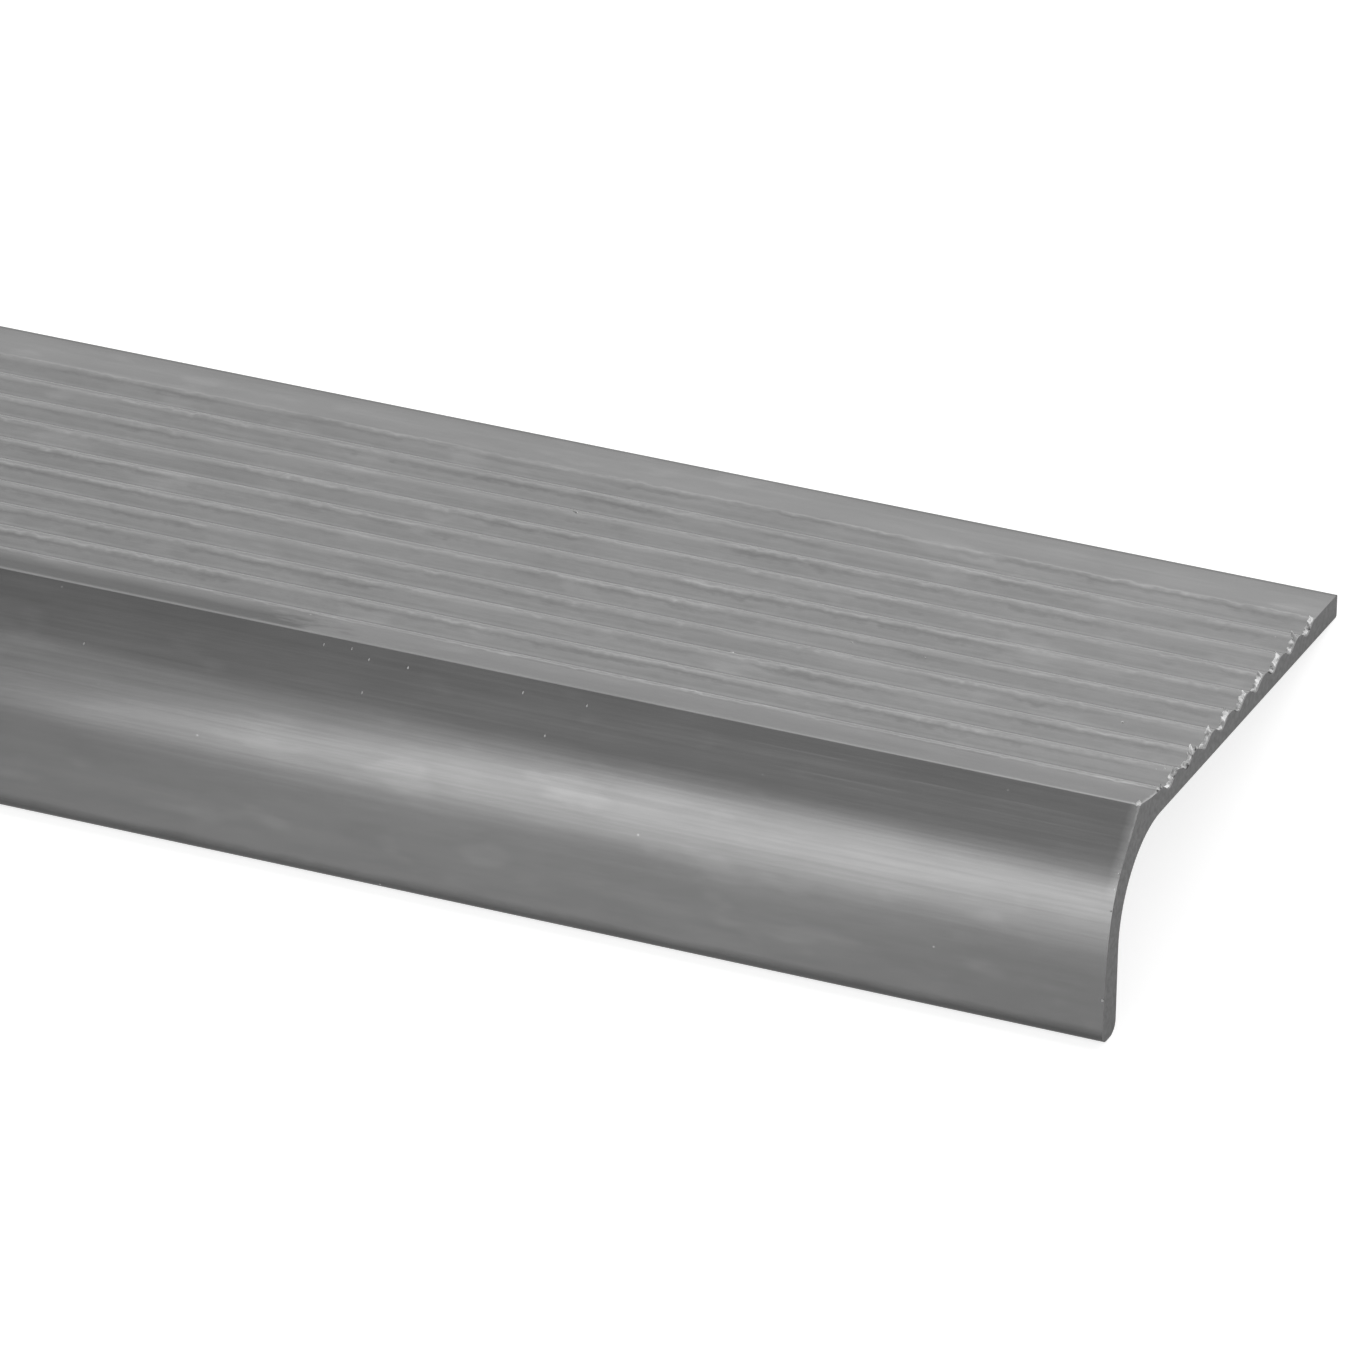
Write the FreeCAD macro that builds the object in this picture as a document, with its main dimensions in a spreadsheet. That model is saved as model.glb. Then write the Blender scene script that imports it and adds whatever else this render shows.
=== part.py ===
import FreeCAD, Part
import math
import os
import Sketcher

# Stair nosing
# One length of aluminium extrusion that covers the front edge of a step.
# A ribbed tread lies on the step, a rounded nose turns over its edge, and an
# apron hangs down in front of the riser. It is one piece, so it is one solid.
#
# The section is drawn with the tread level: across it is +Y, from the apron
# towards the back, and up is +Z. Its zero is the corner of the step, where the
# underside of the tread would meet the inner face of the apron.

DOCUMENT = "StairNosing"
NODE = "nosing_profile"
PARTS_FOLDER = "parts"

BACKWARD, UPWARD, FORWARD, DOWNWARD = range(0, 360, 90)
SPOTS = ("whole edge", "start", "end", "centre")
AXES = ("across", "up")

# Driving sizes in millimetres, degrees and counts
SIZES = [
    ("profile_length", 1000.0, "length that this stock is sold in"),
    ("tread_reach", 51.2, "inner face of the apron to the back edge"),
    ("tread_thickness", 2.2, "underside to the tops of the ribs"),
    ("edge_round", 0.2, "both corners of the back edge"),
    ("lip_height", 2.9, "underside to the crest of the front lip"),
    ("lip_round", 0.25, "radius of the crest of the lip"),
    ("dish_radius", 30.0, "hollow of the land behind the lip"),
    ("brow_angle", 47.0, "slope of the flat face below the lip"),
    ("nose_radius", 11.2, "outside of the bend"),
    ("nose_rise", 2.7, "top of the outer circle above the underside"),
    ("inner_radius", 9.0, "inside of the bend"),
    ("apron_wall", 2.4, "thickness of the apron below the bend"),
    ("apron_drop", 16.85, "underside of the tread to the foot of the apron"),
    ("cheek_radius", 25.0, "slack curve from the nose to the apron"),
    ("cheek_start", 76.0, "tilt of the surface where that curve starts"),
    ("apron_flare", 3.5, "lean of the outer face of the apron"),
    ("foot_outer_round", 1.0, "outer corner of the foot"),
    ("foot_inner_round", 1.2, "inner corner of the foot"),
    ("groove_pitch", 4.1, "groove to groove"),
    ("first_groove", 11.0, "inner face of the apron to the first groove"),
    ("least_back_land", 4.0, "least flat behind the last groove, which sets how many there are"),
    ("groove_depth", 0.85, "top of the ribs to the bottom of a groove"),
    ("rib_land", 0.3, "flat that is left on top of a rib"),
    ("rib_round", 1.0, "shoulders of a rib"),
    ("groove_round", 0.8, "bottom of a groove"),
]


def make_sheet(document):
    """Write each size into the sheet under its own alias."""
    sheet = document.addObject("Spreadsheet::Sheet", "Sizes")
    for row, (alias, value, note) in enumerate(SIZES, start=1):
        sheet.set(f"A{row}", alias)
        sheet.set(f"B{row}", str(value))
        sheet.set(f"C{row}", note)
        sheet.setAlias(f"B{row}", alias)
    document.recompute()
    return sheet


def origin_feature(body, role):
    """Find one of the body's own planes or axes by its role."""
    return next(item for item in body.Origin.OriginFeatures if item.Role == role)


def new_sketch(body, name):
    """Start a sketch on the plane that cuts across the length."""
    sketch = body.newObject("Sketcher::SketchObject", name)
    sketch.AttachmentSupport = [(origin_feature(body, "YZ_Plane"), "")]
    sketch.MapMode = "FlatFace"
    return sketch


def point(across, up):
    """A point of the section."""
    return FreeCAD.Vector(across, up, 0)


def add_line(sketch, first, last):
    """Draw a straight edge."""
    return sketch.addGeometry(Part.LineSegment(first, last), False)


def add_arc(sketch, middle, radius, from_degrees, to_degrees):
    """Draw a round edge, counter-clockwise from its start to its end."""
    circle = Part.Circle(middle, FreeCAD.Vector(0, 0, 1), radius)
    arc = Part.ArcOfCircle(circle, math.radians(from_degrees), math.radians(to_degrees))
    return sketch.addGeometry(arc, False)


def around(middle, radius, degrees):
    """The point of a circle in a given direction."""
    turn = math.radians(degrees)
    return middle + radius * point(math.cos(turn), math.sin(turn))


def start(edge):
    """Name the point where an edge starts."""
    return edge, SPOTS.index("start")


def end(edge):
    """Name the point where an edge ends."""
    return edge, SPOTS.index("end")


def centre(edge):
    """Name the centre of a round edge."""
    return edge, SPOTS.index("centre")


def own_axis(name):
    """Name one of the sketch's own axes, which are numbered down from its edges."""
    return -1 - AXES.index(name)


def zero():
    """Name the zero of the sketch."""
    return start(own_axis("across"))


def constrain(sketch, kind, *ends):
    """Add a constraint that has no size."""
    sketch.addConstraint(Sketcher.Constraint(kind, *ends))


def dimension(sketch, name, formula, kind, *ends):
    """Add a dimension and tie it to the sheet."""
    value = sketch.evalExpression(formula)
    if kind == "Angle":
        value = math.radians(value)
    index = sketch.addConstraint(Sketcher.Constraint(kind, *ends, float(value)))
    sketch.renameConstraint(index, name)
    unit = " * 1 deg" if kind == "Angle" else ""
    sketch.setExpression(f"Constraints.{name}", f"({formula}){unit}")


def check_sketch(sketch):
    """Stop where a sketch is not fully held by its constraints."""
    sketch.solve()
    if not sketch.FullyConstrained:
        raise RuntimeError(f"{sketch.Name} is not fully constrained")


def draw_section(body, size):
    """Draw the outline of the bare profile, before its grooves are cut."""
    sketch = new_sketch(body, "SectionSketch")

    # Tread: underside, back edge and top
    reach = size("tread_reach")
    thick = size("tread_thickness")
    edge = size("edge_round")
    bend = size("inner_radius")
    land_end = size("first_groove") - (size("groove_pitch") - size("rib_land")) / 2
    underside = add_line(sketch, point(bend, 0), point(reach - edge, 0))
    back_low = add_arc(sketch, point(reach - edge, edge), edge, DOWNWARD, DOWNWARD + UPWARD)
    back = add_line(sketch, point(reach, edge), point(reach, thick - edge))
    back_high = add_arc(sketch, point(reach - edge, thick - edge), edge, BACKWARD, UPWARD)
    top = add_line(sketch, point(reach - edge, thick), point(land_end, thick))

    # Nose: the dished land, the lip, the flat brow, the nose and its cheek
    brow_side = UPWARD + size("brow_angle")
    cheek_side = UPWARD + size("cheek_start")
    face_side = FORWARD - size("apron_flare")
    nose_centre = point(size("nose_radius") - size("apron_wall"), size("nose_rise") - size("nose_radius"))
    brow_foot = around(nose_centre, size("nose_radius"), brow_side)
    lip_fall = (size("lip_height") - brow_foot.y) / math.tan(math.radians(size("brow_angle")))
    lip_centre = point(brow_foot.x + lip_fall, size("lip_height") - size("lip_round"))
    lip_front = around(lip_centre, size("lip_round"), brow_side)
    lip_top = around(lip_centre, size("lip_round"), UPWARD)
    dish_end = point(land_end, thick)
    dish_centre = (lip_top + dish_end) / 2 + point(0, size("dish_radius"))
    half_turn = math.degrees(math.asin((dish_end - lip_top).Length / 2 / size("dish_radius")))
    dish = add_arc(sketch, dish_centre, size("dish_radius"), DOWNWARD - half_turn, DOWNWARD + half_turn)
    lip = add_arc(sketch, lip_centre, size("lip_round"), UPWARD, brow_side)
    brow = add_line(sketch, lip_front, brow_foot)
    nose = add_arc(sketch, nose_centre, size("nose_radius"), brow_side, cheek_side)
    cheek_centre = around(nose_centre, size("nose_radius") - size("cheek_radius"), cheek_side)
    cheek = add_arc(sketch, cheek_centre, size("cheek_radius"), cheek_side, face_side)

    # Apron: outer face, foot, inner face and the inside of the bend
    outer = size("foot_outer_round")
    inner = size("foot_inner_round")
    drop = size("apron_drop")
    face_top = around(cheek_centre, size("cheek_radius"), face_side)
    face_run = face_top.y + drop - outer
    face_low = face_top - point(face_run * math.tan(math.radians(size("apron_flare"))), face_run)
    face = add_line(sketch, face_top, face_low)
    foot_outer = add_arc(sketch, face_low + point(outer, 0), outer, face_side, DOWNWARD)
    foot = add_line(sketch, point(face_low.x + outer, -drop), point(-inner, -drop))
    foot_inner = add_arc(sketch, point(-inner, inner - drop), inner, DOWNWARD, DOWNWARD + UPWARD)
    inner_face = add_line(sketch, point(0, inner - drop), point(0, -bend))
    inside = add_arc(sketch, point(bend, -bend), bend, UPWARD, FORWARD)

    # Smooth joins, in order round the outline
    smooth_joins = [
        (start(inside), start(underside)),
        (end(underside), start(back_low)),
        (end(back_low), start(back)),
        (end(back), start(back_high)),
        (end(back_high), start(top)),
        (start(dish), start(lip)),
        (end(lip), start(brow)),
        (end(brow), start(nose)),
        (end(nose), start(cheek)),
        (end(cheek), start(face)),
        (end(face), start(foot_outer)),
        (end(foot_outer), start(foot)),
        (end(foot), start(foot_inner)),
        (end(foot_inner), start(inner_face)),
        (end(inner_face), end(inside)),
    ]
    for first, second in smooth_joins:
        constrain(sketch, "Tangent", *first, *second)
    constrain(sketch, "Coincident", *end(top), *end(dish))

    # Directions and the zero of the section
    for level in (underside, top, foot):
        constrain(sketch, "Horizontal", level)
    for upright in (back, inner_face):
        constrain(sketch, "Vertical", upright)
    constrain(sketch, "PointOnObject", *end(underside), own_axis("across"))
    constrain(sketch, "PointOnObject", *start(inner_face), own_axis("up"))

    # Sizes
    round_edges = [
        ("low_edge", "Sizes.edge_round", back_low),
        ("high_edge", "Sizes.edge_round", back_high),
        ("dish_hollow", "Sizes.dish_radius", dish),
        ("lip_crest", "Sizes.lip_round", lip),
        ("nose_bend", "Sizes.nose_radius", nose),
        ("cheek_bend", "Sizes.cheek_radius", cheek),
        ("outer_foot", "Sizes.foot_outer_round", foot_outer),
        ("inner_foot", "Sizes.foot_inner_round", foot_inner),
        ("inner_bend", "Sizes.inner_radius", inside),
    ]
    for name, formula, edge_index in round_edges:
        dimension(sketch, name, formula, "Radius", edge_index)
    dimension(sketch, "reach", "Sizes.tread_reach", "DistanceX", *zero(), *start(back))
    dimension(sketch, "thickness", "Sizes.tread_thickness", "DistanceY", *zero(), *end(top))
    dimension(sketch, "land_end", "Sizes.first_groove - (Sizes.groove_pitch - Sizes.rib_land) / 2",
              "DistanceX", *zero(), *end(top))
    dimension(sketch, "lip_level", "Sizes.lip_height - Sizes.lip_round",
              "DistanceY", *zero(), *centre(lip))
    dimension(sketch, "nose_across", "Sizes.nose_radius - Sizes.apron_wall",
              "DistanceX", *zero(), *centre(nose))
    dimension(sketch, "nose_below", "Sizes.nose_radius - Sizes.nose_rise",
              "DistanceY", *centre(nose), *zero())
    dimension(sketch, "drop", "Sizes.apron_drop", "DistanceY", *end(foot), *zero())
    dimension(sketch, "brow_slope", "Sizes.brow_angle - 180", "Angle", brow)
    dimension(sketch, "face_lean", "-90 - Sizes.apron_flare", "Angle", face)
    dimension(sketch, "cheek_begin", "Sizes.nose_radius * cos(Sizes.cheek_start * 1 deg)",
              "DistanceY", *centre(nose), *end(nose))
    check_sketch(sketch)
    return sketch


def draw_groove(body, size):
    """Draw the first groove: round shoulders, straight flanks and a round bottom."""
    sketch = new_sketch(body, "GrooveSketch")
    middle = size("first_groove")
    thick = size("tread_thickness")
    half = (size("groove_pitch") - size("rib_land")) / 2
    shoulder = size("rib_round")
    bottom = size("groove_round")
    lean = 2 * math.degrees(math.atan(size("groove_depth") / half))
    front_centre = point(middle - half, thick - shoulder)
    front_high = around(front_centre, shoulder, UPWARD - lean)
    back_centre = point(middle + half, thick - shoulder)
    back_high = around(back_centre, shoulder, UPWARD + lean)
    root_centre = point(middle, thick - size("groove_depth") + bottom)
    front_low = around(root_centre, bottom, DOWNWARD - lean)
    back_low = around(root_centre, bottom, DOWNWARD + lean)

    lid = add_line(sketch, point(middle - half, thick), point(middle + half, thick))
    front = add_arc(sketch, front_centre, shoulder, UPWARD - lean, UPWARD)
    front_flank = add_line(sketch, front_high, front_low)
    root = add_arc(sketch, root_centre, bottom, DOWNWARD - lean, DOWNWARD + lean)
    back_flank = add_line(sketch, back_low, back_high)
    back = add_arc(sketch, back_centre, shoulder, UPWARD, UPWARD + lean)

    constrain(sketch, "Tangent", *start(front), *start(front_flank))
    constrain(sketch, "Tangent", *end(front_flank), *start(root))
    constrain(sketch, "Tangent", *end(root), *start(back_flank))
    constrain(sketch, "Tangent", *end(back_flank), *end(back))
    constrain(sketch, "Coincident", *end(front), *start(lid))
    constrain(sketch, "Coincident", *start(back), *end(lid))
    constrain(sketch, "Horizontal", lid)
    constrain(sketch, "Vertical", *centre(front), *end(front))
    constrain(sketch, "Vertical", *centre(back), *start(back))
    dimension(sketch, "front_shoulder", "Sizes.rib_round", "Radius", front)
    dimension(sketch, "back_shoulder", "Sizes.rib_round", "Radius", back)
    dimension(sketch, "groove_bottom", "Sizes.groove_round", "Radius", root)
    dimension(sketch, "top_level", "Sizes.tread_thickness", "DistanceY", *zero(), *start(lid))
    dimension(sketch, "groove_place", "Sizes.first_groove", "DistanceX", *zero(), *centre(root))
    dimension(sketch, "groove_width", "Sizes.groove_pitch - Sizes.rib_land",
              "DistanceX", *start(lid), *end(lid))
    dimension(sketch, "half_width", "(Sizes.groove_pitch - Sizes.rib_land) / 2",
              "DistanceX", *start(lid), *centre(root))
    dimension(sketch, "bottom_level", "Sizes.groove_depth - Sizes.groove_round",
              "DistanceY", *centre(root), *start(lid))
    check_sketch(sketch)
    return sketch


def extrude_profile(body, section):
    """Run the bare section along the whole length, half to each side."""
    profile = body.newObject("PartDesign::Pad", "Profile")
    profile.Profile = section
    profile.SideType = "Symmetric"
    profile.setExpression("Length", "Sizes.profile_length")
    return profile


def cut_grooves(document, body, groove):
    """Cut the first groove along the whole length, and repeat it across the tread.

    There are as many grooves as fit in front of the least land at the back.
    """
    first = body.newObject("PartDesign::Pocket", "FirstGroove")
    first.Profile = groove
    first.SideType = "Symmetric"
    first.setExpression("Length", "Sizes.profile_length")
    document.recompute()
    grooves = body.newObject("PartDesign::LinearPattern", "Grooves")
    grooves.Originals = [first]
    grooves.Direction = (origin_feature(body, "Y_Axis"), [""])
    grooves.Mode = "Spacing"
    grooves.setExpression("Offset", "Sizes.groove_pitch")
    room = ("Sizes.tread_reach - Sizes.least_back_land - Sizes.first_groove"
            " - (Sizes.groove_pitch - Sizes.rib_land) / 2")
    grooves.setExpression("Occurrences", f"1 + floor(({room}) / Sizes.groove_pitch)")
    body.Tip = grooves
    return first, grooves


def rest_tilt(size):
    """Work out how far the unheld profile leans, in degrees.

    It stands on two round corners: the inner corner of the foot and the lower
    corner of the back edge. The floor is the line that touches both from below.
    """
    across = size("tread_reach") - size("edge_round") + size("foot_inner_round")
    up = size("edge_round") + size("apron_drop") - size("foot_inner_round")
    apart = math.hypot(across, up)
    slope = math.atan2(up, across)
    growth = math.asin((size("foot_inner_round") - size("edge_round")) / apart)
    return math.degrees(slope + growth)


def lay_at_rest(document, body, size):
    """Lean the body until it lies on the floor, centred over the origin."""
    turn = FreeCAD.Rotation(FreeCAD.Vector(1, 0, 0), -rest_tilt(size))
    body.Placement = FreeCAD.Placement(FreeCAD.Vector(0, 0, 0), turn)
    document.recompute()
    reach = body.Shape.optimalBoundingBox(False, False)
    middle = FreeCAD.Vector((reach.XMin + reach.XMax) / 2, (reach.YMin + reach.YMax) / 2, reach.ZMin)
    body.Placement = FreeCAD.Placement(-middle, turn)
    document.recompute()


def check_grooves(profile, first, grooves):
    """Stop where the first groove or its copies took nothing away."""
    if not profile.Shape.Volume > first.Shape.Volume > grooves.Shape.Volume:
        raise RuntimeError("the grooves did not cut")


def check_document(document, bodies):
    """Stop where an object failed, or a piece has no valid shape."""
    for item in document.Objects:
        if "Invalid" in item.State or "Error" in item.State:
            raise RuntimeError(f"{item.Name} failed: {item.State}")
    for piece in bodies:
        if piece.Shape.isNull() or not piece.Shape.isValid():
            raise RuntimeError(f"{piece.Label} has no valid shape")


def write_piece(piece):
    """Write one piece to a file named after it."""
    os.makedirs("parts", exist_ok=True)
    piece.Shape.exportStep(os.path.join(PARTS_FOLDER, f"{piece.Label}.step"))
    reach = piece.Shape.optimalBoundingBox(False, False)
    print(f"{piece.Label}: {reach.XLength:.2f} x {reach.YLength:.2f} x {reach.ZLength:.2f} mm,"
          f" {piece.Shape.Volume / 1000:.1f} cm3, {len(piece.Shape.Solids)} solid")


def main():
    """Make the part and write its file."""
    document = FreeCAD.newDocument(DOCUMENT)
    sheet = make_sheet(document)
    body = document.addObject("PartDesign::Body", "NosingBody")
    body.Label = NODE
    document.recompute()
    size = sheet.get
    profile = extrude_profile(body, draw_section(body, size))
    document.recompute()
    first, grooves = cut_grooves(document, body, draw_groove(body, size))
    document.recompute()
    check_grooves(profile, first, grooves)
    lay_at_rest(document, body, size)
    check_document(document, [body])
    write_piece(body)
    print(f"{grooves.Occurrences} grooves, tilt at rest {rest_tilt(size):.3f} degrees")


main()
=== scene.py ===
import logging
import math
import random
from dataclasses import dataclass
from enum import Enum
from typing import Callable, Iterable

import bmesh
import bpy
from mathutils import Matrix, Vector


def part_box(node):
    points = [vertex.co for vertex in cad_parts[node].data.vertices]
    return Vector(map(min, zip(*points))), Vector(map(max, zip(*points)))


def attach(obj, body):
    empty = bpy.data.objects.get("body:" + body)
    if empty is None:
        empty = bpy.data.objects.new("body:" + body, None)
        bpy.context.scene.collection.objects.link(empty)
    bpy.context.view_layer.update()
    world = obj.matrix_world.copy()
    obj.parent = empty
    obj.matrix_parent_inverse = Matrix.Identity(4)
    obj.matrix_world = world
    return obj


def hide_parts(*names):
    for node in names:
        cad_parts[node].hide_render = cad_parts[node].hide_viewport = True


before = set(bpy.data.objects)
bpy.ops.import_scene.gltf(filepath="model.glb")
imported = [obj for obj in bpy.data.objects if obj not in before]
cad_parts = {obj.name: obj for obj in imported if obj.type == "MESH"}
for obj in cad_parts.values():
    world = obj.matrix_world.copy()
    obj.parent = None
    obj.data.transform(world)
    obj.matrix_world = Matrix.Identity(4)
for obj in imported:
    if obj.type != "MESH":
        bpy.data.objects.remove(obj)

# Stair nosing
# A length of extruded aluminium: ribbed tread, crisp front lip, rounded nose
# and hanging apron. It lies unheld, so its tread slopes down to the back.

LOG = logging.getLogger("stair_nosing")
NODE = "nosing_profile"
BODY = "root"
NUMBER = "NodeSocketFloat"
MM = 0.001
SAME_PLACE = 0.002 * MM


class Heading(Enum):
    """Directions in the section, in degrees from the back round over the top."""

    BACK = 0
    UP = 90
    FRONT = 180


class MeshPart(Enum):
    """What a mesh is selected by in edit mode."""

    CORNER = "verts"
    EDGE = "edges"


def heading_vector(degrees: float) -> Vector:
    """Turn a heading in the section into a direction."""
    turn = math.radians(degrees)
    return Vector((0.0, math.cos(turn), math.sin(turn)))


def deselect_everything() -> None:
    """Leave edit mode and clear the selection."""
    if bpy.context.object and bpy.context.object.mode != "OBJECT":
        bpy.ops.object.mode_set(mode="OBJECT")
    bpy.ops.object.select_all(action="DESELECT")


def make_active(piece: bpy.types.Object) -> None:
    """Select one object and nothing else.

    Args:
        piece: the object.
    """
    deselect_everything()
    piece.select_set(True)
    bpy.context.view_layer.objects.active = piece


def edit_vertices() -> None:
    """Start to edit the active object, with all its vertices selected."""
    bpy.ops.object.mode_set(mode="EDIT")
    bpy.ops.mesh.select_mode(type="VERT")
    bpy.ops.mesh.select_all(action="SELECT")


def face_outward() -> None:
    """Select the whole mesh that is edited and turn its faces outward."""
    bpy.ops.mesh.select_all(action="SELECT")
    bpy.ops.mesh.normals_make_consistent(inside=False)


def select_parts(piece: bpy.types.Object, kind: MeshPart, wanted: Callable) -> None:
    """Select the parts of a mesh in edit mode that pass a test.

    Args:
        piece: the object in edit mode.
        kind: what is selected.
        wanted: a test of one corner or edge.
    """
    shape = bmesh.from_edit_mesh(piece.data)
    for group in (shape.verts, shape.edges, shape.faces):
        for item in group:
            item.select = False
    chosen = getattr(shape, kind.value)
    chosen.ensure_lookup_table()
    for item in chosen:
        if wanted(item):
            item.select_set(True)
    bmesh.update_edit_mesh(piece.data)


def add_to_scene(name: str, data: bpy.types.ID) -> bpy.types.Object:
    """Add an object to the scene.

    Args:
        name: the name of the new object.
        data: its mesh, camera or lamp.

    Returns:
        The new object.
    """
    piece = bpy.data.objects.new(name, data)
    bpy.context.scene.collection.objects.link(piece)
    return piece


def rolled_axes(side: Vector, upright: Vector, back: Vector, roll: float) -> Matrix:
    """Turn three axes into a rotation, rolled about the last one by some degrees."""
    return Matrix((side, upright, back)).transposed() @ Matrix.Rotation(math.radians(roll), 3, "Z")


@dataclass
class Pen:
    """Draws an outline in edit mode, by extruding a vertex and spinning it.

    It keeps its place and heading in the section, as a draughtsman does who
    walks round the outline with the metal on the left.

    Attributes:
        place: where it is.
        heading: where it points, in degrees.
        step: most that one edge of an arc turns, in degrees.
    """

    place: Vector
    heading: float
    step: float = 5.0

    def start(self, name: str) -> bpy.types.Object:
        """Put down the first vertex.

        Args:
            name: the name of the new object.

        Returns:
            The new object, in edit mode, with its one vertex selected.
        """
        deselect_everything()
        bpy.ops.mesh.primitive_plane_add(size=MM, location=self.place, rotation=(0.0, math.radians(90), 0.0))
        piece = bpy.context.object
        piece.name = name
        bpy.ops.object.transform_apply(location=True, rotation=True, scale=True)
        edit_vertices()
        bpy.ops.mesh.merge(type="CENTER")
        return piece

    def straight(self, length: float) -> None:
        """Draw a straight edge ahead.

        Args:
            length: how long it is.
        """
        move = heading_vector(self.heading) * length
        bpy.ops.mesh.extrude_vertices_move(TRANSFORM_OT_translate={"value": move})
        self.place = self.place + move

    def straight_to(self, target: Vector) -> None:
        """Draw the straight edge ahead as far as a point of the section."""
        self.straight(math.hypot(target.y - self.place.y, target.z - self.place.z))

    def turn(self, degrees: float) -> None:
        """Turn on the spot, to the left when positive."""
        self.heading += degrees

    def bend(self, radius: float, degrees: float) -> None:
        """Draw an arc that starts along the heading, to the left when positive.

        Args:
            radius: radius of the arc.
            degrees: how far the outline turns.
        """
        side = math.copysign(90.0, degrees)
        centre = self.place + heading_vector(self.heading + side) * radius
        steps = max(2, math.ceil(abs(degrees) / self.step))
        bpy.ops.mesh.spin(steps=steps, angle=-math.radians(degrees), center=centre, axis=(1.0, 0.0, 0.0))
        self.place = centre + heading_vector(self.heading - side + degrees) * radius
        self.heading += degrees

    def finish(self) -> None:
        """Merge the vertices that lie in one place and leave the whole outline selected."""
        bpy.ops.mesh.select_all(action="SELECT")
        bpy.ops.mesh.remove_doubles(threshold=SAME_PLACE)


@dataclass(frozen=True)
class Section:
    """The cross-section with the tread level, in metres and degrees.

    Its zero is the corner of the step: the underside of the tread is at height
    0 and the inner face of the apron at depth 0.
    """

    tread_reach: float = 51.2 * MM
    tread_thickness: float = 2.2 * MM
    edge_round: float = 0.2 * MM
    lip_height: float = 2.9 * MM
    lip_round: float = 0.25 * MM
    dish_radius: float = 30.0 * MM
    brow_angle: float = 47.0
    nose_radius: float = 11.2 * MM
    nose_rise: float = 2.7 * MM
    inner_radius: float = 9.0 * MM
    apron_wall: float = 2.4 * MM
    apron_drop: float = 16.85 * MM
    cheek_radius: float = 25.0 * MM
    cheek_start: float = 76.0
    apron_flare: float = 3.5
    foot_outer_round: float = 1.0 * MM
    foot_inner_round: float = 1.2 * MM
    groove_count: int = 9
    groove_pitch: float = 4.1 * MM
    first_groove: float = 11.0 * MM
    groove_depth: float = 0.85 * MM
    rib_land: float = 0.3 * MM
    rib_round: float = 1.0 * MM
    groove_round: float = 0.8 * MM

    @property
    def land_end(self) -> float:
        """Depth at which the land behind the lip meets the first groove."""
        return self.first_groove - (self.groove_pitch - self.rib_land) / 2

    @property
    def back_land_start(self) -> float:
        """Depth at which the last groove ends."""
        return self.crest_depth(self.groove_count - 1)

    def crest_depth(self, groove: int) -> float:
        """Depth of the rib behind a groove, counted from the front, where its land starts."""
        return self.land_end + (groove + 1) * self.groove_pitch - self.rib_land

    @property
    def nose_centre(self) -> Vector:
        """Centre of the outer bend."""
        return Vector((0.0, self.nose_radius - self.apron_wall, self.nose_rise - self.nose_radius))

    @property
    def cheek_centre(self) -> Vector:
        """Centre of the slack curve below the nose."""
        back = self.nose_radius - self.cheek_radius
        return self.nose_centre + heading_vector(Heading.UP.value + self.cheek_start) * back

    @property
    def lip_centre(self) -> Vector:
        """Centre of the crest of the lip."""
        outward = heading_vector(Heading.UP.value + self.brow_angle)
        height = self.lip_height - self.lip_round
        rise = height - self.nose_centre.z
        across = (self.nose_radius - self.lip_round - outward.z * rise) / outward.y
        return Vector((0.0, self.nose_centre.y + across, height))

    @property
    def foot_centre(self) -> Vector:
        """Centre of the outer corner of the foot."""
        outward = heading_vector(Heading.FRONT.value - self.apron_flare)
        height = self.foot_outer_round - self.apron_drop
        rise = height - self.cheek_centre.z
        across = (self.cheek_radius - self.foot_outer_round - outward.z * rise) / outward.y
        return Vector((0.0, self.cheek_centre.y + across, height))

    @property
    def rest_tilt(self) -> float:
        """How far the unheld profile leans, in radians."""
        across = self.tread_reach - self.edge_round + self.foot_inner_round
        up = self.edge_round + self.apron_drop - self.foot_inner_round
        growth = (self.foot_inner_round - self.edge_round) / math.hypot(across, up)
        return math.atan2(up, across) + math.asin(growth)

    @property
    def dish_centre(self) -> Vector:
        """Centre of the hollow of the land behind the lip, above the tread."""
        crest = self.lip_centre
        end = Vector((0.0, self.land_end, self.tread_thickness))
        apart = end - crest
        reach = self.dish_radius + self.lip_round
        along = (reach**2 - self.dish_radius**2 + apart.length_squared) / (2 * apart.length)
        aside = math.sqrt(reach**2 - along**2)
        ahead = apart.normalized()
        upward = Vector((0.0, -ahead.z, ahead.y))
        return crest + ahead * along + upward * aside

    @property
    def groove_side(self) -> tuple[float, float]:
        """Length of the straight side of a groove, and its lean in degrees."""
        half = (self.groove_pitch - self.rib_land) / 2
        rounds = self.rib_round + self.groove_round
        climb = rounds - self.groove_depth
        flank = math.sqrt(half**2 + climb**2 - rounds**2)
        return flank, math.degrees(math.atan2(rounds, flank) - math.atan2(climb, half))

    def draw_groove(self, pen: Pen) -> None:
        """Draw one groove, from its back shoulder to its front one.

        Args:
            pen: the pen that draws it, from where it is.
        """
        flank, lean = self.groove_side
        pen.bend(self.rib_round, lean)
        pen.straight(flank)
        pen.bend(self.groove_round, -2 * lean)
        pen.straight(flank)
        pen.bend(self.rib_round, lean)

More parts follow.
